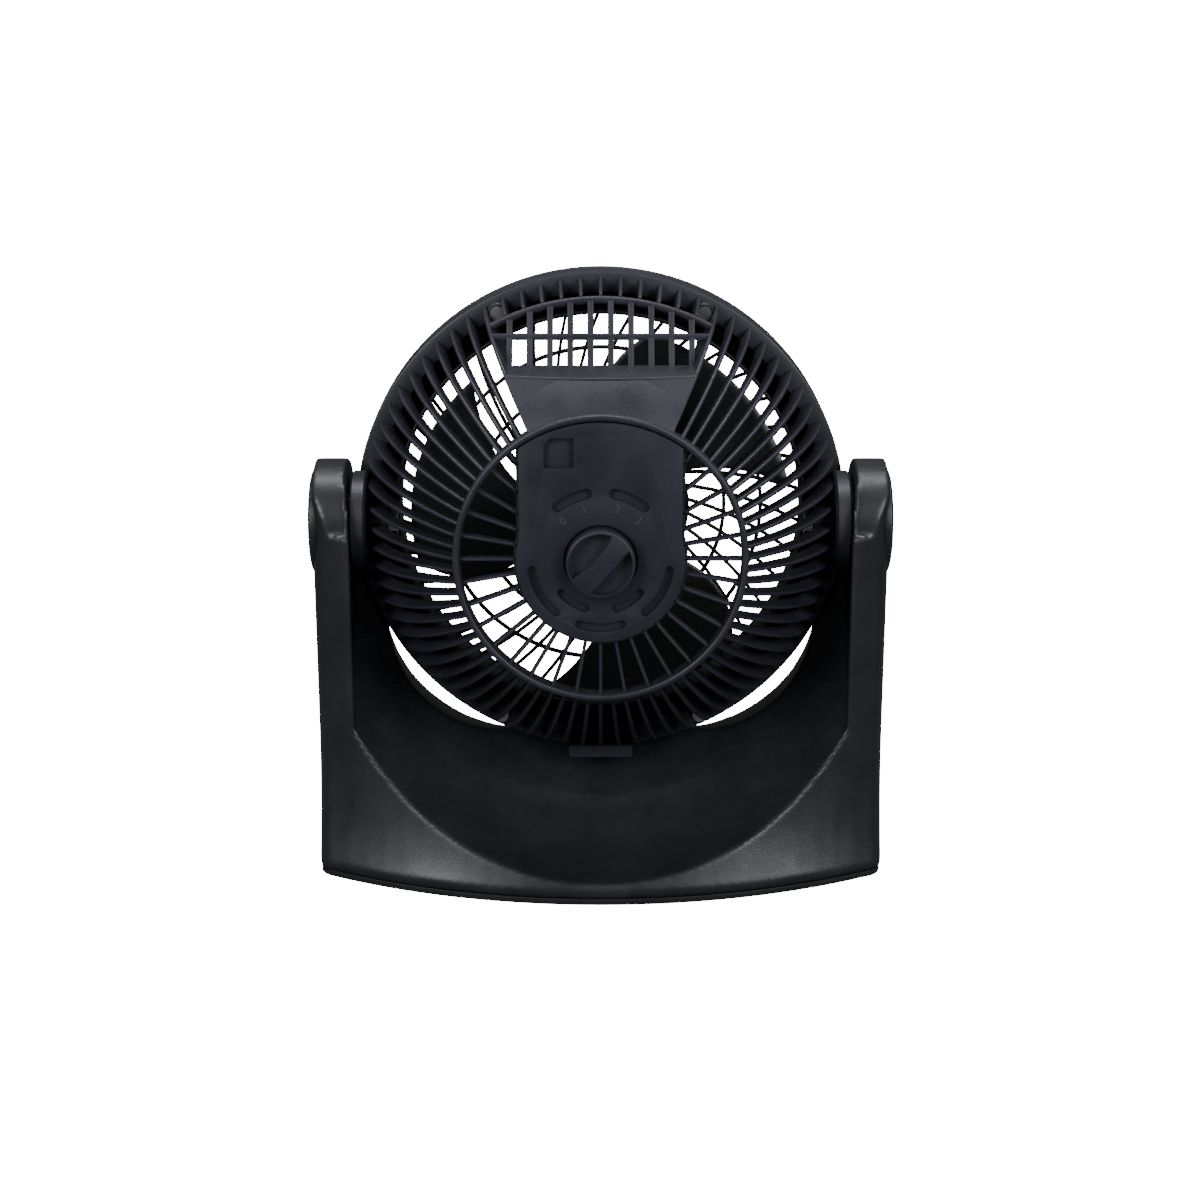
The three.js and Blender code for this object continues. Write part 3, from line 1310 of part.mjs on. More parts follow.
function bottomCover() {
  const top = COVER_BOTTOM + BOTTOM_COVER_THICKNESS;
  const plate = loft([COVER_BOTTOM, top], () => footprint(0, BOTTOM_COVER_INSET));
  const tools = FOOT_PLACES.map(([, x, y]) => upright(
    FOOT_RADIUS + SEAT_GAP, COVER_BOTTOM - 1, COVER_BOTTOM + FOOT_RECESS, 16, [x, y]));
  for (const place of baseScrewPlaces()) {
    tools.push(upright(BASE_SCREW_RADIUS + RUN_GAP, 0, top + 1, 8, place));
    tools.push(upright(BASE_SCREW_HEAD + SEAT_GAP, 0, BASE_SCREW_SEAT + SEAT_GAP, 8, place));
  }
  return cut(plate, tools);
}

function baseScrew(place) {
  const low = COVER_BOTTOM + BASE_SCREW_SINK;
  const head = upright(BASE_SCREW_HEAD, low, BASE_SCREW_SEAT, 8, place);
  const end = COVER_BOTTOM + BASE_SCREW_LENGTH;
  const shank = upright(BASE_SCREW_RADIUS, BASE_SCREW_SEAT - BASE_SCREW_SINK, end, 8, place);
  return join([head, shank]);
}

function rubberFoot([, x, y]) {
  return upright(FOOT_RADIUS, 0, COVER_BOTTOM + FOOT_RECESS - SEAT_GAP, 16, [x, y]);
}

// --------------------------------------------------------------- tilt pivot
const BUSH_INNER = PIVOT_BOLT_RADIUS + RUN_GAP;
const BUSH_OUTER = BUSH_INNER + BUSH_WALL;

function pivotBush(side) {
  const flangeFace = ARM_INNER - SEAT_GAP;
  const flange = tube(BUSH_FLANGE_RADIUS, BUSH_INNER, flangeFace - BUSH_FLANGE, flangeFace, 16);
  const sleeve = tube(BUSH_OUTER, BUSH_INNER, flangeFace - BUSH_FLANGE, BOLT_RECESS_FLOOR, 16);
  return armX(join([flange, sleeve]), side);
}

function springWasher(side) {
  const x0 = BOLT_RECESS_FLOOR + SEAT_GAP;
  return armX(tube(PIVOT_BOLT_HEAD, BUSH_INNER, x0, x0 + SPRING_THICKNESS, 16), side);
}

function pivotBolt(side) {
  const under = BOLT_RECESS_FLOOR + SPRING_THICKNESS + 2 * SEAT_GAP;
  const end = BOSS_FACE - BOSS_THICKNESS - BOSS_TUBE_LENGTH - PIVOT_NUT_LENGTH;
  const head = disc(PIVOT_BOLT_HEAD, under, under + PIVOT_BOLT_HEAD_HEIGHT, 6);
  const shank = disc(PIVOT_BOLT_RADIUS, end, under + 1, 12);
  return alongX(join([head, shank]), side);
}

function pivotNut(side) {
  const x1 = BOSS_FACE - BOSS_THICKNESS - BOSS_TUBE_LENGTH - SEAT_GAP;
  const nut = disc(PIVOT_NUT_RADIUS, x1 - PIVOT_NUT_LENGTH, x1, 6);
  return alongX(nut.subtract(disc(PIVOT_BOLT_RADIUS + THREAD_GAP, 0, x1 + 1, 12)), side);
}

function pivotCap(side) {
  const seat = ARM_OUTER - PIVOT_CAP_RECESS + SEAT_GAP;
  const r = PIVOT_CAP_RADIUS;
  const profile = [
    [0, seat],
    [r, seat],
    [r, ARM_OUTER + PIVOT_CAP_EDGE],
    [r * 0.9, (PIVOT_CAP_FACE + PIVOT_CAP_FACE + ARM_OUTER + PIVOT_CAP_EDGE) / 3],
    [r * 0.7, PIVOT_CAP_FACE],
    [0, PIVOT_CAP_FACE],
  ];
  return armX(lathe(profile, 32), side);
}

// ------------------------------------------------------------------ assembly
const fan = new THREE.Group();
const head = new THREE.Group();
head.position.z = PIVOT_HEIGHT;
fan.add(head);

fan.add(mesh('base_yoke', baseYoke(), BASE_BLACK));
fan.add(mesh('bottom_cover', bottomCover(), DARK));
for (const foot of FOOT_PLACES) {
  fan.add(mesh(`rubber_foot_${foot[0]}`, rubberFoot(foot), RUBBER));
}
baseScrewPlaces().forEach((place, i) => {
  fan.add(mesh(`base_screw_${i + 1}`, baseScrew(place), STEEL));
});
for (const [label, side] of [['left', -1], ['right', 1]]) {
  fan.add(mesh(`pivot_cap_${label}`, pivotCap(side), BASE_BLACK));
  fan.add(mesh(`pivot_bush_${label}`, pivotBush(side), ACETAL));
  fan.add(mesh(`pivot_spring_washer_${label}`, springWasher(side), STEEL));
  head.add(mesh(`pivot_bolt_${label}`, pivotBolt(side), STEEL));
  head.add(mesh(`pivot_nut_${label}`, pivotNut(side), STEEL));
}

head.add(mesh('rear_housing', rearHousing(), BLACK));
head.add(mesh('motor_cover', motorCover(), BLACK));
head.add(mesh('cord_inlet', cordInlet(), RUBBER));
head.add(mesh('rotary_switch', rotarySwitch(), NYLON));
head.add(mesh('switch_shaft', switchShaft(), STEEL));
head.add(mesh('speed_knob', speedKnob(), BLACK));
head.add(mesh('front_bezel', frontBezel(), BLACK));
head.add(mesh('front_grille', frontGrille(), DARK));
head.add(mesh('centre_cap', centreCap(), BLACK));
postPlaces().forEach((place, i) => {
  head.add(mesh(`housing_screw_${i + 1}`, housingScrew(place), STEEL));
});

head.add(mesh('stator_core', statorCore(), CORE));
head.add(mesh('stator_winding', statorWinding(), COPPER));
head.add(mesh('rear_motor_bracket', motorBracket(REAR_BRACKET, -1), ALUMINIUM));
head.add(mesh('front_motor_bracket', motorBracket(FRONT_BRACKET, 1), ALUMINIUM));
head.add(mesh('rear_bearing', bearing(REAR_BRACKET, -1), BRONZE));
head.add(mesh('front_bearing', bearing(FRONT_BRACKET, 1), BRONZE));
head.add(mesh('rotor', rotor(), CORE));
head.add(mesh('motor_shaft', motorShaft(), STEEL));
motorScrewPlaces().forEach((place, i) => {
  head.add(mesh(`motor_screw_${i + 1}`, motorScrew(place), STEEL));
});
head.add(mesh('fan_blade', fanBlade(), BLADE_BLACK));
head.add(mesh('spinner_nut', spinnerNut(), DARK));

export default fan;
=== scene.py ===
import math

import bpy
from mathutils import Matrix, Vector


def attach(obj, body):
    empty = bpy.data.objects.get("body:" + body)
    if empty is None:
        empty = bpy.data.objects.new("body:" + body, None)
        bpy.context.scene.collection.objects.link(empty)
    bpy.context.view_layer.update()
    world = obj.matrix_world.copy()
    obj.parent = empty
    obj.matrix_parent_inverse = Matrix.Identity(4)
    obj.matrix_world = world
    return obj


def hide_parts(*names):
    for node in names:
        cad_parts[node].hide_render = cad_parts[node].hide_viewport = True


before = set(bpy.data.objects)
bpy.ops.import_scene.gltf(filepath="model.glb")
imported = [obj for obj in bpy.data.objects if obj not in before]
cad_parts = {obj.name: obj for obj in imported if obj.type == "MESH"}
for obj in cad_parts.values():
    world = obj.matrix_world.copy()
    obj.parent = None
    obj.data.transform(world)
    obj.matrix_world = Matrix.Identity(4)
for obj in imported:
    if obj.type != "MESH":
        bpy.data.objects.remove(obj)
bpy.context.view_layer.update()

bl_info = {
    "name": "Air circulator fan",
    "version": (1, 0, 0),
    "blender": (4, 5, 0),
    "location": "3D View > Sidebar > Fan",
    "description": "Models and finishes the pieces of an air circulator fan on its frame",
    "category": "Add Mesh",
}

MM = 0.001
# Corners nearer to each other than this are merged.
DOUBLED = 0.002 * MM
TILT_HEIGHT = 168 * MM
TILT_AXIS = Vector((0, 0, TILT_HEIGHT))
ACROSS = Vector((1, 0, 0))
AIR_WAY = Vector((0, 1, 0))
UP = Vector((0, 0, 1))

# Places and sizes that pieces of the head share, in millimetres. The housing screws' places round
# the rim are in degrees, clockwise from the top.
SCREW_ANGLES = (-26, 26, 154, -154)
SCREW_CIRCLE = 110.6
SCREW_BORE = 1.65
POST_RADIUS = 4.8
CUP_REAR = -70.3
CUP_FRONT = -24.3
COVER_REAR = -73
COVER_WALL = 2.4
GRILLE_REAR = 29
GRILLE_FRONT = 32


# ------------------------------------------------------------------ settings
def length(name, about, default):
    """A length setting in metres; its default is given in millimetres."""
    return bpy.props.FloatProperty(
        name=name, description=about, default=default * MM, min=0, unit="LENGTH", precision=5)


def tint(name, about, default):
    return bpy.props.FloatVectorProperty(
        name=name, description=about, default=default, size=3, min=0, max=1, subtype="COLOR")


class HeadSettings(bpy.types.PropertyGroup):
    rib_count: bpy.props.IntProperty(
        name="Ribs", description="Rib places round the whole bowl", default=76, min=24)
    rib_thickness: length("Rib thickness", "Thickness of one rib", 1.7)
    rib_depth: length("Rib depth", "From a rib's outer edge to its inner edge", 7)
    bowl_radius: length("Bowl radius", "Ball that the ribs' outer edges follow", 117.06)
    bowl_centre: length("Bowl centre", "Centre of that ball, ahead of the tilt axis", 26.13)
    ring_radius: length("Ring radius", "Outer radius of the ring behind the ribs", 66.8)
    rim_radius: length("Rim radius", "Outer radius of the head's rim band", 118)
    hub_radius: length("Hub radius", "Radius of the motor cup", 38)
    window_half: bpy.props.IntProperty(
        name="Window half", description="Rib spaces from the top to each side of the handle window",
        default=6, min=2)
    sill_height: length("Sill height", "The window's sill above the tilt axis", 80.6)
    arch_angle: bpy.props.FloatProperty(
        name="Arch angle", description="How far up the bowl the arch over the window lies",
        default=math.radians(70), subtype="ANGLE")


class KnobSettings(bpy.types.PropertyGroup):
    radius: length("Radius", "Radius of the speed knob", 15.7)
    height: length("Height", "How far the knob stands out of the cover", 7)
    grip_width: length("Grip width", "Width of the raised grip", 10.4)
    grip_turn: bpy.props.FloatProperty(
        name="Grip turn", description="Where the grip points, clockwise from straight up",
        default=math.radians(42), subtype="ANGLE")


class GrilleSettings(bpy.types.PropertyGroup):
    spoke_count: bpy.props.IntProperty(
        name="Spokes", description="Spokes of the front grille", default=38, min=8)
    spoke_thickness: length("Spoke thickness", "Thickness of one spoke", 1.7)
    ring_count: bpy.props.IntProperty(
        name="Rings", description="Thin rings that cross the spokes", default=3, min=1)
    ring_pitch: length("Ring pitch", "From the opening's edge to the first ring, and between rings", 18)
    spoke_turn: bpy.props.FloatProperty(
        name="Spoke turn", description="How far a spoke turns from the cap to the rim",
        default=math.radians(38), subtype="ANGLE")
    cap_radius: length("Cap radius", "Radius of the centre cap", 24)
    shroud_radius: length("Shroud radius", "Outer radius of the ring round the blades", 99.5)


class BladeSettings(bpy.types.PropertyGroup):
    radius: length("Radius", "From the shaft to a blade's tip", 91.5)
    sweep: bpy.props.FloatProperty(
        name="Sweep", description="How much of the circle one blade covers",
        default=math.radians(66), subtype="ANGLE")
    lag: bpy.props.FloatProperty(
        name="Lag", description="How far a blade's tip trails its root",
        default=math.radians(22), subtype="ANGLE")
    phase: bpy.props.FloatProperty(
        name="Phase", description="Where the first blade's root points, clockwise from straight up",
        default=math.radians(25), subtype="ANGLE")


class BaseSettings(bpy.types.PropertyGroup):
    half_width: length("Half width", "From the middle to an arm's outer face", 136)
    rear: length("Rear", "From the middle to the rear lip", 77)
    front: length("Front", "From the middle to the front lip", 80)
    lip_curve: length("Lip curve", "Plan radius of the front and rear lips", 262)
    arm_radius: length("Arm end radius", "Radius of an arm's round top", 30)
    grain: length("Mesh grain", "Spacing of the finished base's mesh", 1.3)


class FinishSettings(bpy.types.PropertyGroup):
    head_black: tint("Head black", "Moulded plastic of the head", (0.017, 0.018, 0.028))
    base_black: tint("Base black", "Moulded plastic of the base", (0.013, 0.0145, 0.0185))
    grille_black: tint("Grille black", "Moulded plastic of the front grille", (0.008, 0.0085, 0.0105))
    blade_black: tint("Blade black", "Moulded plastic of the fan blade", (0.006, 0.0065, 0.008))
    # The dial's numbers are embossed in the head's own plastic; this lighter tint is painted highlight,
    # standing in for light catching their raised shapes.
    dial_painted_highlight: tint("Dial painted highlight", "Numbers round the speed knob", (0.05, 0.052, 0.058))


class StudioSettings(bpy.types.PropertyGroup):
    top_power: bpy.props.FloatProperty(
        name="Top light", description="Power of the large light overhead in watts", default=16, min=0)
    side_power: bpy.props.FloatProperty(
        name="Side lights", description="Power of each side light in watts", default=18, min=0)
    fill: bpy.props.FloatProperty(
        name="Fill", description="Strength of the dim light from all round", default=0.13, min=0)
    backdrop: bpy.props.FloatProperty(
        name="Backdrop", description="Brightness of the white backdrop in the camera's view",
        default=20, min=0)


SETTINGS = {
    "fan_head": HeadSettings,
    "fan_knob": KnobSettings,
    "fan_grille": GrilleSettings,
    "fan_blades": BladeSettings,
    "fan_base": BaseSettings,
    "fan_finish": FinishSettings,
    "fan_studio": StudioSettings,
}


# ------------------------------------------------------------ modelling steps
def start_fresh():
    """Leaves edit mode and deselects everything."""
    if bpy.context.object and bpy.context.object.mode != "OBJECT":
        bpy.ops.object.mode_set(mode="OBJECT")
    bpy.ops.object.select_all(action="DESELECT")


def pick(piece):
    start_fresh()
    piece.select_set(True)
    bpy.context.view_layer.objects.active = piece


def edit(piece, kind="VERT"):
    pick(piece)
    bpy.ops.object.mode_set(mode="EDIT")
    bpy.ops.mesh.select_mode(type=kind)


def leave():
    bpy.ops.object.mode_set(mode="OBJECT")


def select_all():
    bpy.ops.mesh.select_all(action="SELECT")


def select_where(piece, kind, test):
    """Enters edit mode with the vertices, edges or faces that pass a test of their place."""
    edit(piece, kind)
    bpy.ops.mesh.select_all(action="DESELECT")
    leave()
    mesh = piece.data
    if kind == "VERT":
        for corner in mesh.vertices:
            corner.select = test(corner.co)
    elif kind == "EDGE":
        for line in mesh.edges:
            a, b = (mesh.vertices[i].co for i in line.vertices)
            line.select = test((a + b) / 2, b - a)
    else:
        for face in mesh.polygons:
            face.select = test(face.center, face.normal)
    bpy.ops.object.mode_set(mode="EDIT")


def draw(name, points, fill=True):
    """Draws an outline from corner to corner, starting with a small plane merged to a point."""
    start_fresh()
    bpy.ops.mesh.primitive_plane_add(size=MM, location=points[0])
    piece = bpy.context.object
    piece.name = name
    bpy.ops.object.transform_apply(location=True, rotation=True, scale=True)
    edit(piece)
    select_all()
    bpy.ops.mesh.merge(type="CENTER")
    for here, there in zip(points, points[1:]):
        bpy.ops.mesh.extrude_region_move(
            TRANSFORM_OT_translate={"value": Vector(there) - Vector(here)})
    if fill:
        select_all()
        bpy.ops.mesh.edge_face_add()
    leave()
    return piece


def pull(piece, offset):
    """Extrudes all of a flat piece along an offset."""
    edit(piece, "FACE")
    select_all()
    bpy.ops.mesh.extrude_region_move(TRANSFORM_OT_translate={"value": Vector(offset)})
    leave()
    return piece


def tidy(piece):
    """Merges doubled corners, then turns all faces outwards."""
    edit(piece)
    select_all()
    bpy.ops.mesh.remove_doubles(threshold=DOUBLED)
    bpy.ops.mesh.normals_make_consistent(inside=False)
    leave()
    return piece


def slab(name, points, offset):
    """A solid with one outline all along an offset."""
    return tidy(pull(draw(name, points), offset))


def cut_off(piece, place, normal):
    """Removes what lies past a plane, on the side its normal points to, and closes the cut."""
    edit(piece)
    select_all()
    bpy.ops.mesh.bisect(plane_co=place, plane_no=normal, use_fill=True, clear_outer=True)
    leave()
    return piece


def sweep(piece, steps, angle, centre, axis):
    """Sweeps a filled outline round an axis."""
    edit(piece)
    select_all()
    bpy.ops.mesh.spin(steps=steps, angle=angle, center=centre, axis=axis)
    leave()
    return tidy(piece)


def turned(name, profile, steps=96, axis=AIR_WAY, across=UP, centre=TILT_AXIS, closed=True):
    """Turns a profile of [radius, along] in millimetres once round an axis."""
    points = [centre + across * (r * MM) + axis * (y * MM) for r, y in profile]
    if closed:
        points.append(points[0])
    piece = draw(name, points, fill=False)
    edit(piece)
    select_all()
    if closed:
        bpy.ops.mesh.remove_doubles(threshold=DOUBLED)
        select_all()
    bpy.ops.mesh.spin(
        steps=steps, angle=2 * math.pi, center=centre, axis=axis, use_auto_merge=True)
    leave()
    return tidy(piece)


def cylinder(name, radius, low, high, steps, **way):
    """A solid round piece between two places along its axis, in millimetres."""
    profile = [(0, low), (radius, low), (radius, high), (0, high)]
    return turned(name, profile, steps, closed=False, **way)


def sleeve(name, inner, outer, low, high, steps, **way):
    """A ring with square edges between two places along its axis, in millimetres."""
    profile = [(inner, low), (outer, low), (outer, high), (inner, high)]
    return turned(name, profile, steps, **way)


def repeated(piece, count, angle):
    """Adds count copies of a piece round the air's axis, over an angle clockwise from the back."""
    edit(piece)
    select_all()
    bpy.ops.mesh.spin(steps=count, angle=-angle, center=TILT_AXIS, axis=AIR_WAY, dupli=True)
    leave()
    return piece


def turn(piece, angle):
    """Turns a piece round the air's axis, clockwise as seen from the back."""
    edit(piece)
    select_all()
    bpy.ops.transform.rotate(
        value=-angle, orient_axis="Y", orient_type="GLOBAL", center_override=TILT_AXIS)
    leave()
    return piece


def joined(name, pieces):
    start_fresh()
    for piece in pieces:
        piece.select_set(True)
    bpy.context.view_layer.objects.active = pieces[0]
    bpy.ops.object.join()
    whole = bpy.context.object
    whole.name = name
    return whole


def modified(piece, kind, **values):
    """Adds a modifier with these values, and applies it."""
    pick(piece)
    bpy.ops.object.modifier_add(type=kind)
    modifier = piece.modifiers[-1]
    for key, value in values.items():
        setattr(modifier, key, value)
    bpy.ops.object.modifier_apply(modifier=modifier.name)
    return piece


def carved(piece, tool, operation="DIFFERENCE"):
    """Cuts a piece with a tool, or keeps only what they share, and removes the tool."""
    modified(piece, "BOOLEAN", object=tool, operation=operation, solver="EXACT")
    pick(tool)
    bpy.ops.object.delete()
    return piece


def softened(piece, width, segments=2, angle=30):
    return modified(
        piece, "BEVEL", width=width * MM, segments=segments, limit_method="ANGLE",
        angle_limit=math.radians(angle), use_clamp_overlap=True, miter_outer="MITER_ARC")


def finished(piece, body, material, nodes=(), smooth=35):
    """Puts the finish on a piece and lets it ride with its body in place of the CAD nodes."""
    pick(piece)
    bpy.ops.object.transform_apply(location=True, rotation=True, scale=True)
    bpy.ops.object.shade_smooth_by_angle(angle=math.radians(smooth))
    piece.data.materials.clear()
    piece.data.materials.append(material)
    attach(piece, body)
    if nodes:
        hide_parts(*nodes)
    return piece


def rounded(x0, x1, y0, y1, radius, steps=3):
    """Corners of a rounded rectangle profile, as pairs, counter-clockwise."""
    corners = [(x1 - radius, y0 + radius, -90), (x1 - radius, y1 - radius, 0),
               (x0 + radius, y1 - radius, 90), (x0 + radius, y0 + radius, 180)]
    points = []
    for cx, cy, start in corners:
        for i in range(steps + 1):
            angle = math.radians(start + 90 * i / steps)
            points.append((cx + radius * math.cos(angle), cy + radius * math.sin(angle)))
    return points


def arc(x, z, radius, start, end, steps):
    """Points of an arc in degrees, counter-clockwise from the right."""
    points = []
    for i in range(steps + 1):
        angle = math.radians(start + (end - start) * i / steps)
        points.append((x + radius * math.cos(angle), z + radius * math.sin(angle)))
    return points


def quarter(steps, first=0):
    """Angles in even steps up to a right angle."""
    return [math.pi / 2 * i / steps for i in range(first, steps + 1)]


def behind(points, y):
    """Pairs of [x, z] in millimetres round the tilt axis, put at a depth in the air's way."""
    return [Vector((x * MM, y * MM, TILT_HEIGHT + z * MM)) for x, z in points]


def round_head(radius, degrees):
    """A place on a circle round the air's axis, clockwise from the top as seen from the back."""
    angle = math.radians(degrees)
    return Vector((radius * MM * math.sin(angle), 0, TILT_HEIGHT + radius * MM * math.cos(angle)))


# ------------------------------------------------------------------ materials
# A colour Mix node also has sockets for numbers and vectors, so its colours go by number.
COLOUR_A, COLOUR_B, COLOUR_OUT = 6, 7, 2


def link(tree, source, target):
    tree.links.new(source, target)


def node(tree, kind, **values):
    made = tree.nodes.new(kind)
    for key, value in values.items():
        setattr(made, key, value)
    return made


def moulded_texture():
    """A group: fine moulded texture as a height, and a soft mottle as a mask."""
    tree = bpy.data.node_groups.new("moulded texture", "ShaderNodeTree")
    face = tree.interface
    face.new_socket(name="Scale", in_out="INPUT", socket_type="NodeSocketFloat").default_value = 1600
    face.new_socket(name="Detail", in_out="INPUT", socket_type="NodeSocketFloat").default_value = 4
    face.new_socket(name="Mottle Scale", in_out="INPUT", socket_type="NodeSocketFloat").default_value = 45
    face.new_socket(name="Height", in_out="OUTPUT", socket_type="NodeSocketFloat")
    face.new_socket(name="Mottle", in_out="OUTPUT", socket_type="NodeSocketFloat")
    inputs = node(tree, "NodeGroupInput")
    outputs = node(tree, "NodeGroupOutput")
    place = node(tree, "ShaderNodeTexCoord")
    grain = node(tree, "ShaderNodeTexNoise")
    grain.inputs["Roughness"].default_value = 0.62
    cells = node(tree, "ShaderNodeTexVoronoi", feature="SMOOTH_F1")
    cells.inputs["Smoothness"].default_value = 0.6
    blend = node(tree, "ShaderNodeMath", operation="MULTIPLY_ADD")
    blend.inputs[1].default_value = 0.5
    mottle = node(tree, "ShaderNodeTexNoise")
    mottle.inputs["Detail"].default_value = 3
    spread = node(tree, "ShaderNodeMapRange")
    spread.inputs["From Min"].default_value = 0.3
    spread.inputs["From Max"].default_value = 0.7
    for texture in (grain, cells, mottle):
        link(tree, place.outputs["Object"], texture.inputs["Vector"])
    link(tree, inputs.outputs["Scale"], grain.inputs["Scale"])
    link(tree, inputs.outputs["Scale"], cells.inputs["Scale"])
    link(tree, inputs.outputs["Detail"], grain.inputs["Detail"])
    link(tree, inputs.outputs["Mottle Scale"], mottle.inputs["Scale"])
    link(tree, cells.outputs["Distance"], blend.inputs[0])
    link(tree, grain.outputs["Fac"], blend.inputs[2])
    link(tree, blend.outputs["Value"], outputs.inputs["Height"])
    link(tree, mottle.outputs["Fac"], spread.inputs["Value"])
    link(tree, spread.outputs["Result"], outputs.inputs["Mottle"])
    return tree


def settled_dust():
    """A group: a thin pale film where a surface looks up, as a mask."""
    tree = bpy.data.node_groups.new("settled dust", "ShaderNodeTree")
    face = tree.interface
    face.new_socket(name="Amount", in_out="INPUT", socket_type="NodeSocketFloat").default_value = 0.1
    face.new_socket(name="Dust", in_out="OUTPUT", socket_type="NodeSocketFloat")
    inputs = node(tree, "NodeGroupInput")
    outputs = node(tree, "NodeGroupOutput")
    place = node(tree, "ShaderNodeTexCoord")
    split = node(tree, "ShaderNodeSeparateXYZ")
    facing = node(tree, "ShaderNodeMapRange", interpolation_type="SMOOTHSTEP")
    facing.inputs["From Min"].default_value = 0.2
    facing.inputs["From Max"].default_value = 1.0
    specks = node(tree, "ShaderNodeTexNoise")
    specks.inputs["Scale"].default_value = 260
    specks.inputs["Detail"].default_value = 5
    broken = node(tree, "ShaderNodeMath", operation="MULTIPLY")
    amount = node(tree, "ShaderNodeMath", operation="MULTIPLY")
    link(tree, place.outputs["Normal"], split.inputs["Vector"])
    link(tree, split.outputs["Z"], facing.inputs["Value"])
    link(tree, place.outputs["Object"], specks.inputs["Vector"])
    link(tree, facing.outputs["Result"], broken.inputs[0])
    link(tree, specks.outputs["Fac"], broken.inputs[1])
    link(tree, broken.outputs["Value"], amount.inputs[0])
    link(tree, inputs.outputs["Amount"], amount.inputs[1])
    link(tree, amount.outputs["Value"], outputs.inputs["Dust"])
    return tree


def shader_group(name, maker):
    return bpy.data.node_groups.get(name) or maker()


def surface(name, dark, light, gloss_range, grain, depth):
    """A new material with moulded texture in its bump, and mottled colour and gloss."""
    material = bpy.data.materials.new(name)
    material.use_nodes = True
    tree = material.node_tree
    shader = tree.nodes["Principled BSDF"]
    texture = node(tree, "ShaderNodeGroup", node_tree=shader_group("moulded texture", moulded_texture))
    texture.inputs["Scale"].default_value = grain
    shades = node(tree, "ShaderNodeMix", data_type="RGBA")
    shades.inputs[COLOUR_A].default_value = (*dark, 1)
    shades.inputs[COLOUR_B].default_value = (*light, 1)
    gloss = node(tree, "ShaderNodeMapRange")
    gloss.inputs["To Min"].default_value, gloss.inputs["To Max"].default_value = gloss_range
    bump = node(tree, "ShaderNodeBump")
    bump.inputs["Strength"].default_value = 1
    bump.inputs["Distance"].default_value = depth * MM
    link(tree, texture.outputs["Mottle"], shades.inputs[0])
    link(tree, shades.outputs[COLOUR_OUT], shader.inputs["Base Color"])
    link(tree, texture.outputs["Mottle"], gloss.inputs["Value"])
    link(tree, gloss.outputs["Result"], shader.inputs["Roughness"])
    link(tree, texture.outputs["Height"], bump.inputs["Height"])
    link(tree, bump.outputs["Normal"], shader.inputs["Normal"])
    return material, shader, shades


def plastic(name, colour, roughness, grain=1600, depth=0.04, dust=0.02):
    """Moulded plastic: mottled, with a little dust on what looks up."""
    if name in bpy.data.materials:
        return bpy.data.materials[name]
    material, shader, shades = surface(
        name, [c * 0.86 for c in colour], [min(1, c * 1.16) for c in colour],
        (roughness - 0.07, roughness + 0.07), grain, depth)
    tree = material.node_tree
    shader.inputs["Specular IOR Level"].default_value = 0.42
    film = node(tree, "ShaderNodeGroup", node_tree=shader_group("settled dust", settled_dust))
    film.inputs["Amount"].default_value = dust
    dusty = node(tree, "ShaderNodeMix", data_type="RGBA")
    dusty.inputs[COLOUR_B].default_value = (0.30, 0.305, 0.315, 1)
    link(tree, shades.outputs[COLOUR_OUT], dusty.inputs[COLOUR_A])
    link(tree, film.outputs["Dust"], dusty.inputs[0])
    link(tree, dusty.outputs[COLOUR_OUT], shader.inputs["Base Color"])
    return material


def metal(name, colour, roughness):
    """Bare metal with a fine uneven polish and darker patches."""
    material, shader, _ = surface(
        name, [c * 0.7 for c in colour], colour, (roughness - 0.08, roughness + 0.1), 900, 0.02)
    shader.inputs["Metallic"].default_value = 1
    return material


def head_plastic():
    return plastic("head plastic", bpy.context.scene.fan_finish.head_black, 0.46)


def base_plastic():
    return plastic("base plastic", bpy.context.scene.fan_finish.base_black, 0.37, grain=1300)


def grille_plastic():
    return plastic("grille plastic", bpy.context.scene.fan_finish.grille_black, 0.5)


def blade_plastic():
    return plastic(
        "blade plastic", bpy.context.scene.fan_finish.blade_black, 0.3, grain=700, depth=0.01)


def rubber():
    return plastic("rubber", (0.010, 0.010, 0.011), 0.8, grain=900, depth=0.08, dust=0.2)


# ---------------------------------------------------------------- the rib cage
def bowl_point(head, x, radius, angle):
    """A place on the bowl: across, from the ball's centre, and up from its rear pole."""
    return Vector((
        x, head.bowl_centre - radius * math.cos(angle), TILT_HEIGHT + radius * math.sin(angle)))


def rib_section(head, start, depth, thickness):
    """A rib's cross-section, rounded on its outer edge, standing at a distance from the axis."""
    half = thickness / 2
    outer = head.bowl_radius
    round_off = 0.7 * MM
    corner = [(half - round_off * (1 - math.cos(angle)), outer - round_off * (1 - math.sin(angle)))
              for angle in quarter(3)]
    profile = [(-half, outer - depth), (half, outer - depth), *corner]
    profile += [(-x, radius) for x, radius in corner[::-1]]
    return [bowl_point(head, x, radius, math.asin(start / radius)) for x, radius in profile]


def swept_rib(name, head, start, end_angle, depth, steps):
    """One rib at the top of the bowl, from a distance from the axis up to an angle."""
    piece = draw(name, rib_section(head, start, depth, head.rib_thickness))
    run = end_angle - math.asin(start / head.bowl_radius)
    centre = (0, head.bowl_centre, TILT_HEIGHT)
    return sweep(piece, steps, run, centre, ACROSS)


# How far the ribs reach into the ring in millimetres, where they end under the rim band, and how
# far up the bowl from the arch a short rib's outer edge starts.
RING_HOLD = 1.6
RIM_ANGLE = math.radians(82.2)
SHORT_RIB_START = math.radians(1.4)


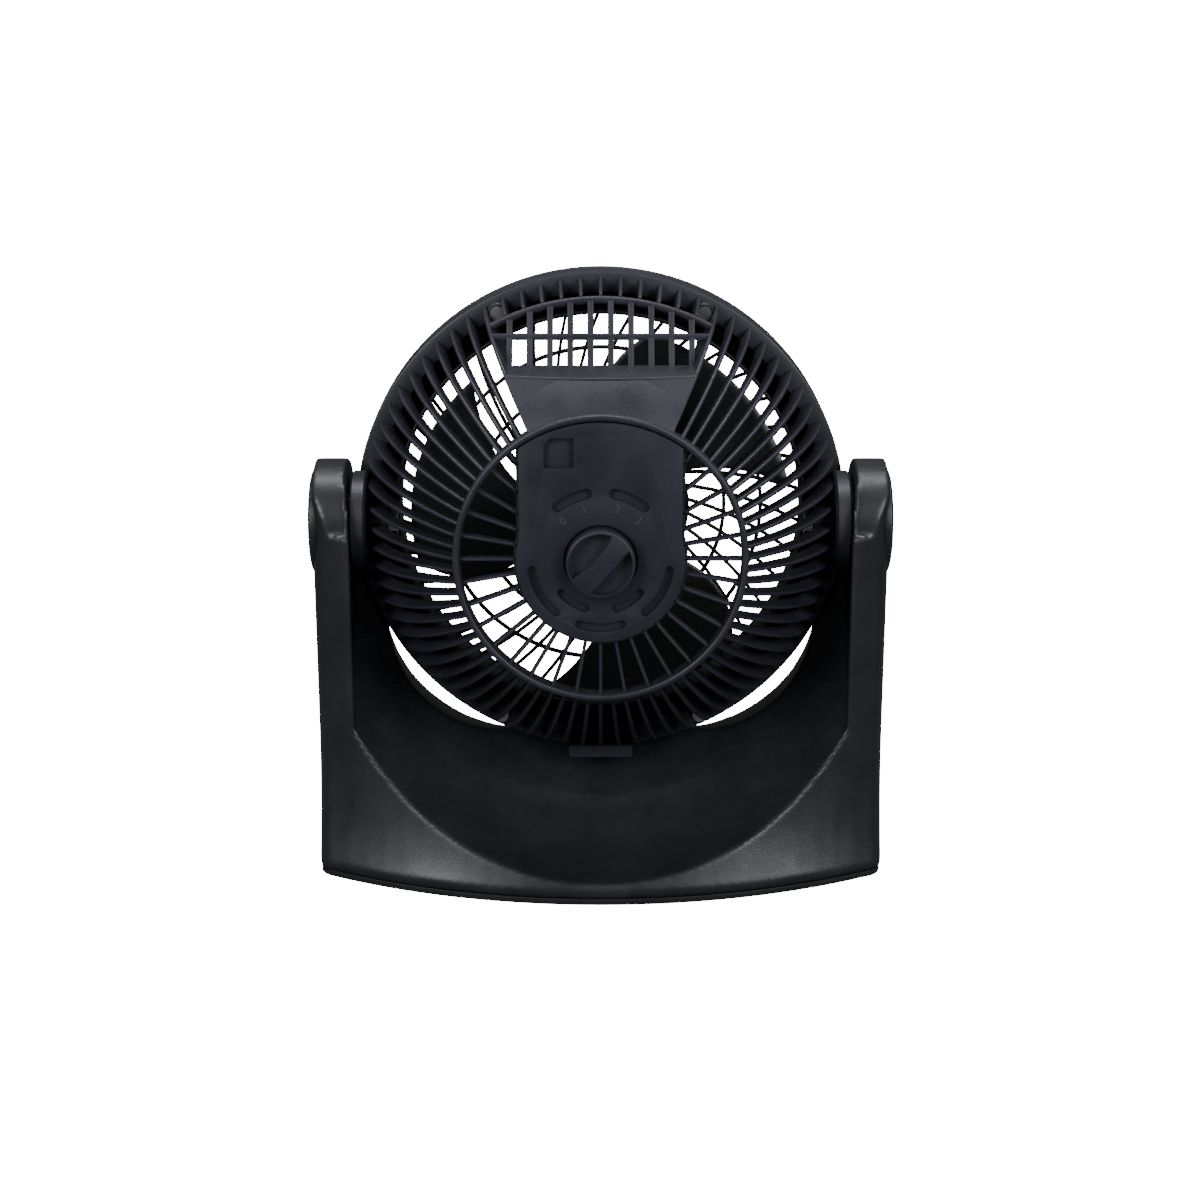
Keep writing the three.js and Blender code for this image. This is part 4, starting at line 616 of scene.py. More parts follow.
class FAN_OT_rib_cage(bpy.types.Operator):
    """Models one rib, and copies it round the bowl"""
    bl_idname = "fan.rib_cage"
    bl_label = "Rib cage"

    def execute(self, context):
        head = context.scene.fan_head
        pitch = 2 * math.pi / head.rib_count
        start = head.ring_radius - RING_HOLD * MM
        rib = swept_rib("rib", head, start, RIM_ANGLE, head.rib_depth, 14)
        turn(rib, (head.window_half + 1) * pitch)
        last = head.rib_count - 2 * (head.window_half + 1)
        repeated(rib, last, last * pitch)
        half = head.rib_thickness / 2
        crest = []
        for part in (i / 7 for i in range(8)):
            angle = (head.arch_angle + SHORT_RIB_START * (1 - part)
                     + (RIM_ANGLE - head.arch_angle) * part)
            crest.append(bowl_point(head, -half, head.bowl_radius, angle))
        foot = TILT_HEIGHT + head.bowl_radius * math.sin(head.arch_angle) - ARCH_BEAD / 2 * MM
        outline = [*crest, Vector((-half, WALL_FRONT * MM, foot)), Vector((-half, crest[0].y, foot))]
        short = slab("short rib", outline, (2 * half, 0, 0))
        softened(short, 0.5, 3)
        turn(short, -(head.window_half - 1) * pitch)
        rest = 2 * (head.window_half - 1)
        repeated(short, rest, rest * pitch)
        cage = joined("rib_cage", [rib, short])
        finished(cage, "head", head_plastic(), ["rear_housing"])
        return {"FINISHED"}


class FAN_OT_rim_and_ring(bpy.types.Operator):
    """Turns the rim band, the ring behind the ribs and the motor cup, with its ribs and posts"""
    bl_idname = "fan.rim_and_ring"
    bl_label = "Rim, ring and motor cup"

    def execute(self, context):
        head = context.scene.fan_head
        rim = head.rim_radius / MM
        band = turned("rim_band", [
            (rim - 9.5, 9), (rim - 1.2, 9), (rim - 0.35, 9.35), (rim, 10.2), (rim, 24),
            (rim - 2.8, 24), (rim - 2.8, 11.4), (rim - 9.5, 11.4)], 152)
        tab = slab("tab", behind(rounded(-15.5, 15.5, -118.3, -112.3, 1.2), -7), (0, 17 * MM, 0))
        post = [(SCREW_BORE, 3), (POST_RADIUS - 0.5, 3), (POST_RADIUS, 3.5), (POST_RADIUS, 24),
                (SCREW_BORE, 24)]
        posts = [turned("post", post, 24, centre=round_head(SCREW_CIRCLE, degrees))
                 for degrees in SCREW_ANGLES]
        bosses = []
        for side in (-1, 1):
            bosses.append(turned("boss", [
                (4.15, 101.7), (9.6, 101.7), (9.6, 110.7), (22.5, 110.7), (24, 112), (24, 117.5),
                (22.8, 118.7), (4.15, 118.7)], 64, axis=ACROSS * side, across=AIR_WAY))
        band = joined("rim_band", [band, tab, *posts, *bosses])
        finished(band, "head", head_plastic(), ["rear_housing"])

        outer = head.ring_radius / MM
        ring = turned("rear_ring", rounded(outer - 3.2, outer, -73, -63, 1.3), 152)
        finished(ring, "head", head_plastic(), ["rear_housing"])

        hub = head.hub_radius / MM
        cup = turned("cup", [
            (hub - 2, CUP_REAR), (hub - 0.6, CUP_REAR), (hub, CUP_REAR + 0.6), (hub, CUP_FRONT - 0.6),
            (hub - 0.6, CUP_FRONT), (hub - 2, CUP_FRONT)], 96)
        floor = slab("floor", behind(cover_outline(head, -1.3), CUP_REAR), (0, COVER_WALL * MM, 0))
        foot = hub - 1
        section = [Vector((x * MM, y * MM, TILT_HEIGHT + foot * MM))
                   for x, y in rounded(-0.75, 0.75, CUP_REAR, CUP_REAR + 5, 0.5, 2)]
        rib = slab("inner rib", section, (0, 0, (outer - RING_HOLD - foot) * MM))
        turn(rib, math.radians(40))
        repeated(rib, 28, math.radians(280))
        posts = [sleeve("motor post", 2.15, 3.6, -69, -51.3, 16, centre=round_head(27.2, degrees))
                 for degrees in (45, 135, 225, 315)]
        cup = joined("motor_cup", [cup, floor, rib, *posts])
        finished(cup, "head", head_plastic(), ["rear_housing"])
        return {"FINISHED"}


# The handle window's parts, in millimetres.
PANEL_WALL = 2.4
SILL_WALL = 2.2
SILL_REAR = -52
SILL_FRONT = -27.5
SILL_OVERRUN = 1.2
STRIP_DROP = 16
STRIP_RUN = 10.7
STRIP_PULL = Vector((0, 10, 14.9)) * MM
WALL = 1.7
WALL_DEPTH = 19
WALL_FRONT = 10.2
ARCH_BEAD = 3.6
BAR = 2.9
BAR_PITCH = 9.3
BAR_COUNT = 10
CROSS_BAR_HEIGHT = 0.43
CROSS_BAR_HALF = 60


class FAN_OT_handle_window(bpy.types.Operator):
    """Models the panel, sill, walls, arch and grid of the handle window"""
    bl_idname = "fan.handle_window"
    bl_label = "Handle window"

    def execute(self, context):
        head = context.scene.fan_head
        half_angle = 2 * math.pi / head.rib_count * head.window_half
        ball = head.bowl_radius / MM
        centre = head.bowl_centre / MM
        sill = head.sill_height / MM
        start = head.ring_radius / MM - RING_HOLD

        def row(radius, last, steps=14):
            """The bowl's side view at a radius, from the ring up to an angle, as [y, z]."""
            first = math.asin(start / radius)
            angles = [first + (last - first) * i / steps for i in range(steps + 1)]
            return [(centre - radius * math.cos(a), radius * math.sin(a)) for a in angles]

        def upright(points, x=0):
            return [Vector((x, y * MM, TILT_HEIGHT + z * MM)) for y, z in points]

        def level(points, z, back=0):
            return [Vector((x * MM, (y - back) * MM, TILT_HEIGHT + z * MM)) for x, y in points]

        def clipped(piece):
            """Cuts a piece off at both of the window's side walls."""
            for side in (-1, 1):
                cut_off(piece, TILT_AXIS, (side * math.cos(half_angle), 0, -math.sin(half_angle)))
            return tidy(piece)

        def swung(name, points, steps):
            """Sweeps an outline from one side wall to the other."""
            piece = turn(draw(name, upright(points)), -half_angle)
            return sweep(piece, steps, -2 * half_angle, TILT_AXIS, AIR_WAY)

        corner = sill / math.cos(half_angle)
        inner = ball - PANEL_WALL
        shell = row(ball, math.asin(corner / ball)) + row(inner, math.asin(corner / inner))[::-1]
        panel = cut_off(swung("panel", shell, 24), (0, 0, TILT_HEIGHT + (sill - SILL_WALL / 2) * MM), UP)

        middle = centre - math.sqrt(ball * ball - sill * sill)
        reach = SILL_OVERRUN * sill * math.tan(half_angle)
        bow = [(reach * part, middle + (SILL_REAR - middle) * (SILL_OVERRUN * part) ** 2)
               for part in (i / 12 for i in range(-12, 13))]
        outline = [*bow, (reach, SILL_FRONT), (-reach, SILL_FRONT)]
        plate = softened(slab("sill", level(outline, sill - SILL_WALL), (0, 0, SILL_WALL * MM)), 0.6, 3)
        band = [(x, y + 0.5) for x, y in bow] + [(x, y + 2.4) for x, y in bow[::-1]]
        strip = slab("strip", level(band, sill - STRIP_DROP, STRIP_RUN), STRIP_PULL)

        walls = []
        for side in (-1, 1):
            outline = []
            for radius, order in ((ball, 1), (ball - WALL_DEPTH, -1)):
                outline += row(radius, math.acos((centre - WALL_FRONT) / radius), 18)[::order]
            wall = slab("wall", upright(outline, -WALL / 2 * MM), (WALL * MM, 0, 0))
            walls.append(turn(softened(wall, 0.45, 2), side * half_angle))

        arch_y = centre - ball * math.cos(head.arch_angle)
        arch_z = ball * math.sin(head.arch_angle)
        bead = swung("arch", rounded(arch_y, arch_y + ARCH_BEAD, arch_z - ARCH_BEAD, arch_z, 1.2), 32)
        window = joined("handle_window", [panel, clipped(plate), clipped(strip), *walls, bead])
        finished(window, "head", head_plastic(), ["rear_housing"])

        section = rounded(-BAR / 2, BAR / 2, -BAR / 2, BAR / 2, 0.5, 2)
        foot = sill - SILL_WALL / 2
        low = Vector((0, (SILL_FRONT - BAR / 2) * MM, TILT_HEIGHT + foot * MM))
        lean = Vector((0, (arch_y + ARCH_BEAD / 2) * MM, TILT_HEIGHT + arch_z * MM)) - low
        bars = []
        for i in range(BAR_COUNT):
            x = BAR_PITCH * (i - (BAR_COUNT - 1) / 2) * MM
            rise = math.sqrt(((arch_z - ARCH_BEAD / 2) * MM) ** 2 - x * x) - foot * MM
            outline = [low + Vector((x + a * MM, b * MM, 0)) for a, b in section]
            bars.append(slab("bar", outline, lean * (rise / lean.z)))
        cross = low + lean * CROSS_BAR_HEIGHT
        outline = [cross + Vector((-CROSS_BAR_HALF, a, b)) * MM for a, b in section]
        bars.append(slab("cross", outline, (2 * CROSS_BAR_HALF * MM, 0, 0)))
        grid = clipped(joined("window_grid", bars))
        finished(grid, "head", head_plastic(), ["rear_housing"])
        return {"FINISHED"}


# ------------------------------------------------------------ cover, dial, knob
def cover_outline(head, shrink):
    """The cover's outline in millimetres: a round below, and straight sides up to the ring."""
    radius = head.hub_radius / MM - shrink
    half = 36.5 - shrink
    top = head.ring_radius / MM - 3.5 - shrink
    low = math.degrees(math.acos(half / radius))
    high = math.degrees(math.acos(half / top))
    return arc(0, 0, radius, 180 - low, 360 + low, 60) + arc(0, 0, top, high, 180 - high, 24)


def slot_outline(radius, width, start, end):
    """A slot with round ends, between two angles clockwise from the top, in degrees."""
    half = width / 2
    a, b = 90 - end, 90 - start
    points = arc(0, 0, radius + half, a, b, 16)
    bx, bz = radius * math.cos(math.radians(b)), radius * math.sin(math.radians(b))
    points += arc(bx, bz, half, b, b + 180, 8)[1:-1]
    points += arc(0, 0, radius - half, b, a, 16)
    ax, az = radius * math.cos(math.radians(a)), radius * math.sin(math.radians(a))
    return points + arc(ax, az, half, a + 180, a + 360, 8)[1:-1]


def cover_cutter(outline):
    return slab("cutter", behind(outline, COVER_REAR - 3), (0, 9 * MM, 0))


# Radii round the knob's middle in millimetres, and places in degrees clockwise from the top.
OUTER_VENTS = 31.3
DIAL_RADIUS = 25
DIAL_MARKS = (("0", -42), ("1", -17), ("2", 17), ("3", 42))
# The slots on both sides of the middle: radius, width, and from and to in degrees.
SIDE_SLOTS = ((31.6, 5, 11.3, 37.8), (OUTER_VENTS, 4, 98, 140), (23.1, 4, 130, 163))
# The square pocket at the left, with one corner cut off.
POCKET = ((-25.4, 42.8), (-12, 42.8), (-12, 56.2), (-22.4, 56.2), (-25.4, 53.2))


class FAN_OT_motor_cover(bpy.types.Operator):
    """Models the motor cover with its vents, pocket and dial"""
    bl_idname = "fan.motor_cover"
    bl_label = "Motor cover and dial"

    def execute(self, context):
        head = context.scene.fan_head
        knob = context.scene.fan_knob
        plate = slab("motor_plate", behind(cover_outline(head, 0), COVER_REAR), (0, COVER_WALL * MM, 0))
        knob_hole = arc(0, 0, knob.radius / MM + 1.1, 0, 360, 96)[:-1]
        slots = [slot_outline(OUTER_VENTS, 4, 162, 198)]
        for side in (-1, 1):
            for radius, width, start, end in SIDE_SLOTS:
                slots.append(slot_outline(radius, width, *sorted((start * side, end * side))))
        tools = [cover_cutter(outline) for outline in (knob_hole, POCKET, *slots)]
        carved(plate, joined("tools", tools))
        softened(plate, 0.45, 3, 40)
        finished(plate, "head", head_plastic(), ["motor_cover"])

        # The embossed numbers get a lighter tint than the head's plastic: painted highlight, not print.
        highlight_tint = plastic("dial painted highlight", context.scene.fan_finish.dial_painted_highlight, 0.6, dust=0)
        marks = []
        for mark, degrees in DIAL_MARKS:
            start_fresh()
            place = round_head(DIAL_RADIUS, degrees) + AIR_WAY * (COVER_REAR - 0.1) * MM
            bpy.ops.object.text_add(location=(0, 0, 0))
            text = bpy.context.object
            text.data.body = mark
            text.data.size = 5.2 * MM
            text.data.align_x = "CENTER"
            text.data.align_y = "CENTER"
            text.data.extrude = 0.1 * MM
            bpy.ops.object.convert(target="MESH")
            text.matrix_world = (Matrix.Translation(place)
                                 @ Matrix.Rotation(math.radians(degrees), 4, "Y")
                                 @ Matrix.Rotation(math.radians(90), 4, "X"))
            bpy.ops.object.transform_apply(location=True, rotation=True, scale=True)
            marks.append(text)
        numbers = joined("dial_numbers", marks)
        tidy(numbers)
        finished(numbers, "head", highlight_tint)
        return {"FINISHED"}


# How far in the waisted side of the grip is drawn, as a share of its half width.
GRIP_WAIST = 0.15


class FAN_OT_speed_knob(bpy.types.Operator):
    """Turns the speed knob and carves the two pockets beside its grip"""
    bl_idname = "fan.speed_knob"
    bl_label = "Speed knob"

    def execute(self, context):
        knob = context.scene.fan_knob
        radius = knob.radius / MM
        top = COVER_REAR - knob.height / MM
        body = turned("speed_dial", [
            (0, -70.6), (radius - 0.4, -70.6), (radius, -71), (radius, top + 1),
            (radius - 0.3, top + 0.3), (radius - 1, top), (0, top)], 96, closed=False)
        grip = knob.grip_width / MM / 2
        edge = radius - 1.5
        start = math.degrees(math.asin(grip / edge))
        tools = []
        for side in (-1, 1):
            outline = arc(0, 0, edge, start - 90, 90 - start, 36)
            (x0, z0), (x1, z1) = outline[-1], outline[0]
            waist = grip * GRIP_WAIST if side < 0 else grip
            for t in (i / 12 for i in range(1, 12)):
                x = (1 - t) ** 2 * x0 + 2 * t * (1 - t) * waist + t * t * x1
                outline.append((x, (1 - t) * z0 + t * z1))
            tools.append(slab("pocket", behind([(side * x, z) for x, z in outline], top - 1),
                              (0, 6 * MM, 0)))
        carved(body, joined("pockets", tools))
        softened(body, 0.5, 3, 40)
        turn(body, knob.grip_turn)
        finished(body, "knob", head_plastic(), ["speed_knob"])
        return {"FINISHED"}


# ---------------------------------------------------------- front of the head
BEZEL_WIDTH = 20.5
BEZEL_ROUND = 8


class FAN_OT_front_bezel(bpy.types.Operator):
    """Turns the round front bezel and its screw bosses"""
    bl_idname = "fan.front_bezel"
    bl_label = "Front bezel"

    def execute(self, context):
        rim = context.scene.fan_head.rim_radius / MM
        opening = rim - BEZEL_WIDTH
        profile = [(opening, 32.3), (rim - 2.8, 32.3), (rim - 2.8, 24.3), (rim - 0.5, 24.3), (rim, 24.8)]
        profile += [(rim - BEZEL_ROUND * (1 - math.cos(a)), 36 - BEZEL_ROUND * (1 - math.sin(a)))
                    for a in quarter(12)]
        profile += [(opening + 1.2, 36), (opening + 0.3, 35.6), (opening, 34.8)]
        ring = turned("bezel_ring", profile, 152)
        bosses = [sleeve("boss", SCREW_BORE, POST_RADIUS, 24.3, 34, 24,
                         centre=round_head(SCREW_CIRCLE, degrees)) for degrees in SCREW_ANGLES]
        ring = joined("bezel_ring", [ring, *bosses])
        finished(ring, "head", head_plastic(), ["front_bezel"])
        return {"FINISHED"}


class FAN_OT_front_grille(bpy.types.Operator):
    """Models one curved spoke, copies it round, and adds the rings, shroud and cap"""
    bl_idname = "fan.front_grille"
    bl_label = "Front grille and cap"

    def execute(self, context):
        grille = context.scene.fan_grille
        cap = grille.cap_radius / MM
        half = grille.spoke_thickness / MM / 2
        shroud = grille.shroud_radius / MM
        opening = shroud - 2
        first, last = cap - 2, opening + 1
        left, right = [], []
        for part in (i / 14 for i in range(15)):
            radius = first + (last - first) * part
            angle = grille.spoke_turn * math.sqrt(part)
            lean = math.asin(half / radius)
            left.append((radius * math.sin(angle - lean), radius * math.cos(angle - lean)))
            right.append((radius * math.sin(angle + lean), radius * math.cos(angle + lean)))
        thickness = (GRILLE_FRONT - GRILLE_REAR) * MM
        spoke = slab("spoke", behind(left + right[::-1], GRILLE_REAR), (0, thickness, 0))
        softened(spoke, 0.4, 2, 50)
        count = grille.spoke_count
        repeated(spoke, count - 1, 2 * math.pi * (count - 1) / count)
        rings = [cylinder("disc", cap, GRILLE_REAR, GRILLE_FRONT, 96)]
        for i in range(grille.ring_count):
            outer = opening - (i + 1) * grille.ring_pitch / MM
            rings.append(turned("ring", rounded(outer - 1.8, outer, GRILLE_REAR, GRILLE_FRONT, 0.5), 128))
        rings.append(turned("shroud", rounded(opening, shroud, 12, GRILLE_FRONT, 0.6), 152))
        rings.append(turned("flange", rounded(opening, 104.5, GRILLE_REAR, GRILLE_FRONT, 0.5), 152))
        whole = joined("grille_web", [spoke, *rings])
        finished(whole, "head", grille_plastic(), ["front_grille"])

        dome = [(0, 32.3), (cap - 0.4, 32.3), (cap, 32.7), (cap, 33.6)]
        dome += [(cap * math.cos(a), 33.6 + 2.7 * math.sin(a)) for a in quarter(14, 1)[:-1]]
        dome += [(0, 36.3)]
        badge = turned("cap_dome", dome, 96, closed=False)
        finished(badge, "head", head_plastic(), ["centre_cap"])
        return {"FINISHED"}


# The blades' root is a radius and the rest lie along the air's axis, in millimetres: a root's
# trailing edge, its rise from there to the leading edge, the height it flattens to, and the hub's rear.
BLADE_ROOT = 18.5
BLADE_REAR = -4
BLADE_RISE = 16.7
BLADE_MIDDLE = 4.4
BLADE_WALL = 1.9
HUB_REAR = -5.3


class FAN_OT_impeller(bpy.types.Operator):
    """Models one twisted blade, copies it twice, and turns the hub"""
    bl_idname = "fan.impeller"
    bl_label = "Fan blade"

    def execute(self, context):
        blades = context.scene.fan_blades
        start_fresh()
        bpy.ops.mesh.primitive_grid_add(x_subdivisions=28, y_subdivisions=18, size=2)
        wing = bpy.context.object
        for corner in wing.data.vertices:
            u, v = (corner.co.x + 1) / 2, (corner.co.y + 1) / 2
            radius = BLADE_ROOT + v * (blades.radius / MM - BLADE_ROOT)
            spread = blades.sweep * (0.62 + 0.38 * math.sin(v * math.pi / 1.6))
            angle = blades.phase + blades.lag * v * v + spread * (u - 0.5)
            rise = BLADE_REAR + BLADE_RISE * (1 - u)
            lift = (1 - 0.25 * v) * (rise - BLADE_MIDDLE) + BLADE_MIDDLE
            corner.co = (radius * math.sin(angle) * MM, lift * MM,
                         TILT_HEIGHT + radius * math.cos(angle) * MM)
        modified(wing, "SOLIDIFY", thickness=BLADE_WALL * MM, offset=0)
        softened(wing, 0.6, 2, 60)
        tidy(wing)
        repeated(wing, 2, 2 * math.pi * 2 / 3)
        hub = turned("hub", [
            (3.05, 14), (17, 14), (18.6, 13.5), (19.6, 12.4), (20, 11), (20, HUB_REAR),
            (17.8, HUB_REAR), (17.8, 10), (7, 10), (7, -2.3), (3.05, -2.3)], 72)
        whole = joined("blade_wheel", [wing, hub])
        finished(whole, "impeller", blade_plastic(), ["fan_blade"])
        return {"FINISHED"}


# ------------------------------------------------------------------- the base
# The base's sizes, in millimetres. Its front and rear faces stand upright as a band at the foot,
# take a small step in above it, and then draw in along a curve.
SHELL_FLOOR = 4.9
TRAY_FLOOR = 1.6
BAND_TOP = 9
STEP_TOP = 12
STEP = 1.4
CURVE_TOP = 72
BLOCK_TOP = 240
LEVELS = (10.5, 15, 18, 22, 27, 32, 38, 44, 51, 58, 65)
REAR_DRAW = 13.5
FRONT_DRAW = 17
AXIS_HEIGHT = TILT_HEIGHT / MM
# The cradle is round the air's axis: its ridge's radius and two ends, and its drop to the lips.
CRADLE_RIDGE = 119.5
CRADLE_DROP = 36.5
RIDGE_REAR = 15
RIDGE_FRONT = 21
LIP_REAR = -70
LIP_FRONT = 74
# The channel under the head: half its width, its corners' radius, its depth and top at the axis.
CHANNEL_HALF = 105.5
CHANNEL_CORNER = 64
CHANNEL_DEPTH = 112
CHANNEL_TOP = 60
# Half the gap between the arms ahead, half the closer gap behind, and the slant between the two.
ARM_GAP = 120
ARM_REAR_GAP = 116.5
SLANT_FRONT = -16
SLANT_REAR = -38.5
# How far from the middle a cutter has to reach to go past both lips.
PAST_LIPS = 160
FOOT_COLUMNS = (-112, 112)
FOOT_ROWS = (-37.5, 40.5)
# The hollows round each pivot: name, radius, from and to across the fan, and steps.
PIVOT_HOLLOWS = (
    ("cap seat", 25.3, 132.8, 145, 96),
    ("bolt seat", 10.5, 126, 133, 64),
    ("bore", 6.7, 100, 127, 48),
    ("boss room", 25.5, 100, 120, 96),
)


def sweep_in(z, depth):
    """How far the base's front or rear face has drawn in at a height, all in millimetres."""
    if z <= BAND_TOP:
        return 0
    if z <= STEP_TOP:
        return STEP * (z - BAND_TOP) / (STEP_TOP - BAND_TOP)
    run, rise = depth - STEP, CURVE_TOP - STEP_TOP
    radius = (run * run + rise * rise) / (2 * run)
    drop = max(0, CURVE_TOP - z)
    return depth - (radius - math.sqrt(radius * radius - drop * drop))


def footprint(base, inset):
    """The base's plan as [x, y] in millimetres, from the rear lip round by the front lip."""
    corner, lip_steps, corner_steps = 12, 28, 8
    half = base.half_width / MM - inset
    curve = base.lip_curve / MM
    slope = math.asin(half / curve)
    bend = math.pi / 2 - slope
    radius = corner - inset
    along = radius * math.tan(bend / 2)

    def sag(x):
        return curve - math.sqrt(curve * curve - x * x)

    points = []
    for sign, reach in ((-1, base.rear / MM - inset), (1, base.front / MM - inset)):
        start = half - along * math.cos(slope)
        run = [(-start + 2 * start * i / lip_steps) for i in range(lip_steps + 1)]
        run = [(x, reach - sag(x)) for x in run]
        cy = reach - sag(half) - along
        bendy = []
        for i in range(1, corner_steps + 1):
            angle = math.pi / 2 - slope - bend * i / corner_steps
            bendy.append((half - radius + radius * math.cos(angle), cy + radius * math.sin(angle)))
        whole = [(-x, y) for x, y in reversed(bendy)] + run + bendy
        points += [(-sign * x, sign * y) for x, y in whole]
    return points


def swept_block(base):
    """The base's outer body, raised level by level while its front and rear faces draw in."""
    outline = footprint(base, 0)
    block = draw("block", [Vector((x * MM, y * MM, SHELL_FLOOR * MM)) for x, y in outline])
    levels = sorted((SHELL_FLOOR, BAND_TOP, STEP_TOP, *LEVELS, CURVE_TOP, BLOCK_TOP))
    for low, high in zip(levels, levels[1:]):
        select_where(block, "FACE", lambda c, n, z=low: abs(c.z - z * MM) < 1e-6 and abs(n.z) > 0.9)
        bpy.ops.mesh.extrude_region_move(
            TRANSFORM_OT_translate={"value": (0, 0, (high - low) * MM)})
        for sign, depth in ((-1, REAR_DRAW), (1, FRONT_DRAW)):
            shift = sweep_in(high, depth) - sweep_in(low, depth)
            if shift > 0:
                select_where(block, "VERT", lambda c, z=high, s=sign: abs(c.z - z * MM) < 1e-6
                             and c.y * s > 0)
                bpy.ops.transform.translate(value=(0, -sign * shift * MM, 0))
    leave()
    return tidy(block)


def arm_cutter(base):
    """A thin side view of the base, stretched over its width: it gives each arm its round top."""
    top = arc(0, AXIS_HEIGHT, base.arm_radius / MM, 0, 180, 64)
    outline = [(150, -5), (150, AXIS_HEIGHT), *top, (-150, AXIS_HEIGHT), (-150, -5)]
    return slab("side", [Vector((-0.2, y * MM, z * MM)) for y, z in outline], (0.4, 0, 0))


def lip_slope(start, end):
    """The cradle's curve from its ridge out to a lip, as rows of [radius, y]."""
    run = abs(end - start)
    bend = (run * run + CRADLE_DROP * CRADLE_DROP) / (2 * CRADLE_DROP)
    steps = 24
    rows = []
    for i in range(steps + 1):
        y = start + (end - start) * i / steps
        off = end - y
        rows.append((CRADLE_RIDGE + CRADLE_DROP - bend + math.sqrt(bend * bend - off * off), y))
    return rows


def cradle_cutters():
    """What the head's room takes out of the base: the cradle, the arms' gap and the channel."""
    floor = CRADLE_RIDGE + CRADLE_DROP
    profile = [(0, -PAST_LIPS), (floor, -PAST_LIPS)]
    profile += lip_slope(RIDGE_REAR, LIP_REAR)[::-1] + lip_slope(RIDGE_FRONT, LIP_FRONT)
    profile += [(floor, PAST_LIPS), (0, PAST_LIPS)]
    cradle = turned("cradle", profile, 160, closed=False)
    plan = [(-ARM_REAR_GAP, -PAST_LIPS), (ARM_REAR_GAP, -PAST_LIPS), (ARM_REAR_GAP, SLANT_REAR),
            (ARM_GAP, SLANT_FRONT), (ARM_GAP, PAST_LIPS), (-ARM_GAP, PAST_LIPS),
            (-ARM_GAP, SLANT_FRONT), (-ARM_REAR_GAP, SLANT_REAR)]
    between = slab("between", [Vector((x, y, 0)) * MM for x, y in plan], (0, 0, 0.4))
    carved(cradle, between, "INTERSECT")
    upper = slab("upper", [Vector((x, y, AXIS_HEIGHT)) * MM for x, y in plan], (0, 0, 0.2))
    side, low = CHANNEL_HALF - CHANNEL_CORNER, CHANNEL_CORNER - CHANNEL_DEPTH
    channel = [(-CHANNEL_HALF, CHANNEL_TOP), (-CHANNEL_HALF, low)]
    channel += arc(-side, low, CHANNEL_CORNER, 180, 270, 24)[1:]
    channel += arc(side, low, CHANNEL_CORNER, 270, 360, 24) + [(CHANNEL_HALF, CHANNEL_TOP)]
    trough = slab("channel", behind(channel, -PAST_LIPS), (0, 2 * PAST_LIPS * MM, 0))
    return [cradle, upper, trough]


class FAN_OT_base(bpy.types.Operator):
    """Models the base with its two arms and the saddle between them"""
    bl_idname = "fan.base"
    bl_label = "Base and arms"

    def execute(self, context):
        base = context.scene.fan_base
        block = swept_block(base)
        carved(block, arm_cutter(base), "INTERSECT")
        for tool in cradle_cutters():
            carved(block, tool)
        for way in (-1, 1):
            for name, radius, inner, outer, steps in PIVOT_HOLLOWS:
                carved(block, cylinder(
                    name, radius, inner, outer, steps, axis=ACROSS * way, across=AIR_WAY))
        modified(block, "REMESH", mode="VOXEL", voxel_size=base.grain)
        modified(block, "SMOOTH", factor=0.5, iterations=6)
        block.name = "base_shell"
        finished(block, "base", base_plastic(), ["base_yoke"], smooth=50)
        return {"FINISHED"}


class FAN_OT_underside(bpy.types.Operator):
    """Models the bottom cover and the rubber feet"""
    bl_idname = "fan.underside"
    bl_label = "Bottom cover and feet"

    def execute(self, context):
        base = context.scene.fan_base
        outline = [Vector((x * MM, y * MM, TRAY_FLOOR * MM)) for x, y in footprint(base, 0.6)]
        tray = slab("floor_tray", outline, (0, 0, 3 * MM))
        feet = []
        for x in FOOT_COLUMNS:
            for y in FOOT_ROWS:
                centre = Vector((x * MM, y * MM, 0))
                feet.append((x, y, turned("foot", [
                    (0, 0), (7, 0), (7.7, 0.3), (8, 1), (8, 2.5), (0, 2.5)], 48, axis=UP,
                    across=ACROSS, centre=centre, closed=False)))
                carved(tray, cylinder("seat", 8.3, 1, 2.8, 48, axis=UP, across=ACROSS, centre=centre))
        softened(tray, 0.8, 3, 40)
        finished(tray, "base", plastic(
            "underside plastic", context.scene.fan_finish.grille_black, 0.55), ["bottom_cover"])
        for x, y, foot in feet:
            name = f"rubber_foot_{'rear' if y < 0 else 'front'}_{'left' if x < 0 else 'right'}"
            foot.name = name.replace("rubber_foot", "foot_pad")
            finished(foot, "base", rubber(), [name])
        return {"FINISHED"}


class FAN_OT_pivot_caps(bpy.types.Operator):
    """Turns the round cover on the outside of each arm"""
    bl_idname = "fan.pivot_caps"
    bl_label = "Pivot caps"

    def execute(self, context):
        for label, side in (("left", -1), ("right", 1)):
            dome = [(0, 133.1), (24.6, 133.1), (25, 133.5), (25, 136.2)]
            dome += [(22.5 + 2.5 * math.cos(a), 136.2 + 1.5 * math.sin(a)) for a in quarter(6, 1)]
            dome += [(17.5, 138.2), (10, 138.45), (0, 138.5)]
            cap = turned(f"side_cap_{label}", dome, 96, axis=ACROSS * side, across=AIR_WAY,
                         closed=False)
            finished(cap, "base", base_plastic(), [f"pivot_cap_{label}"])
        return {"FINISHED"}


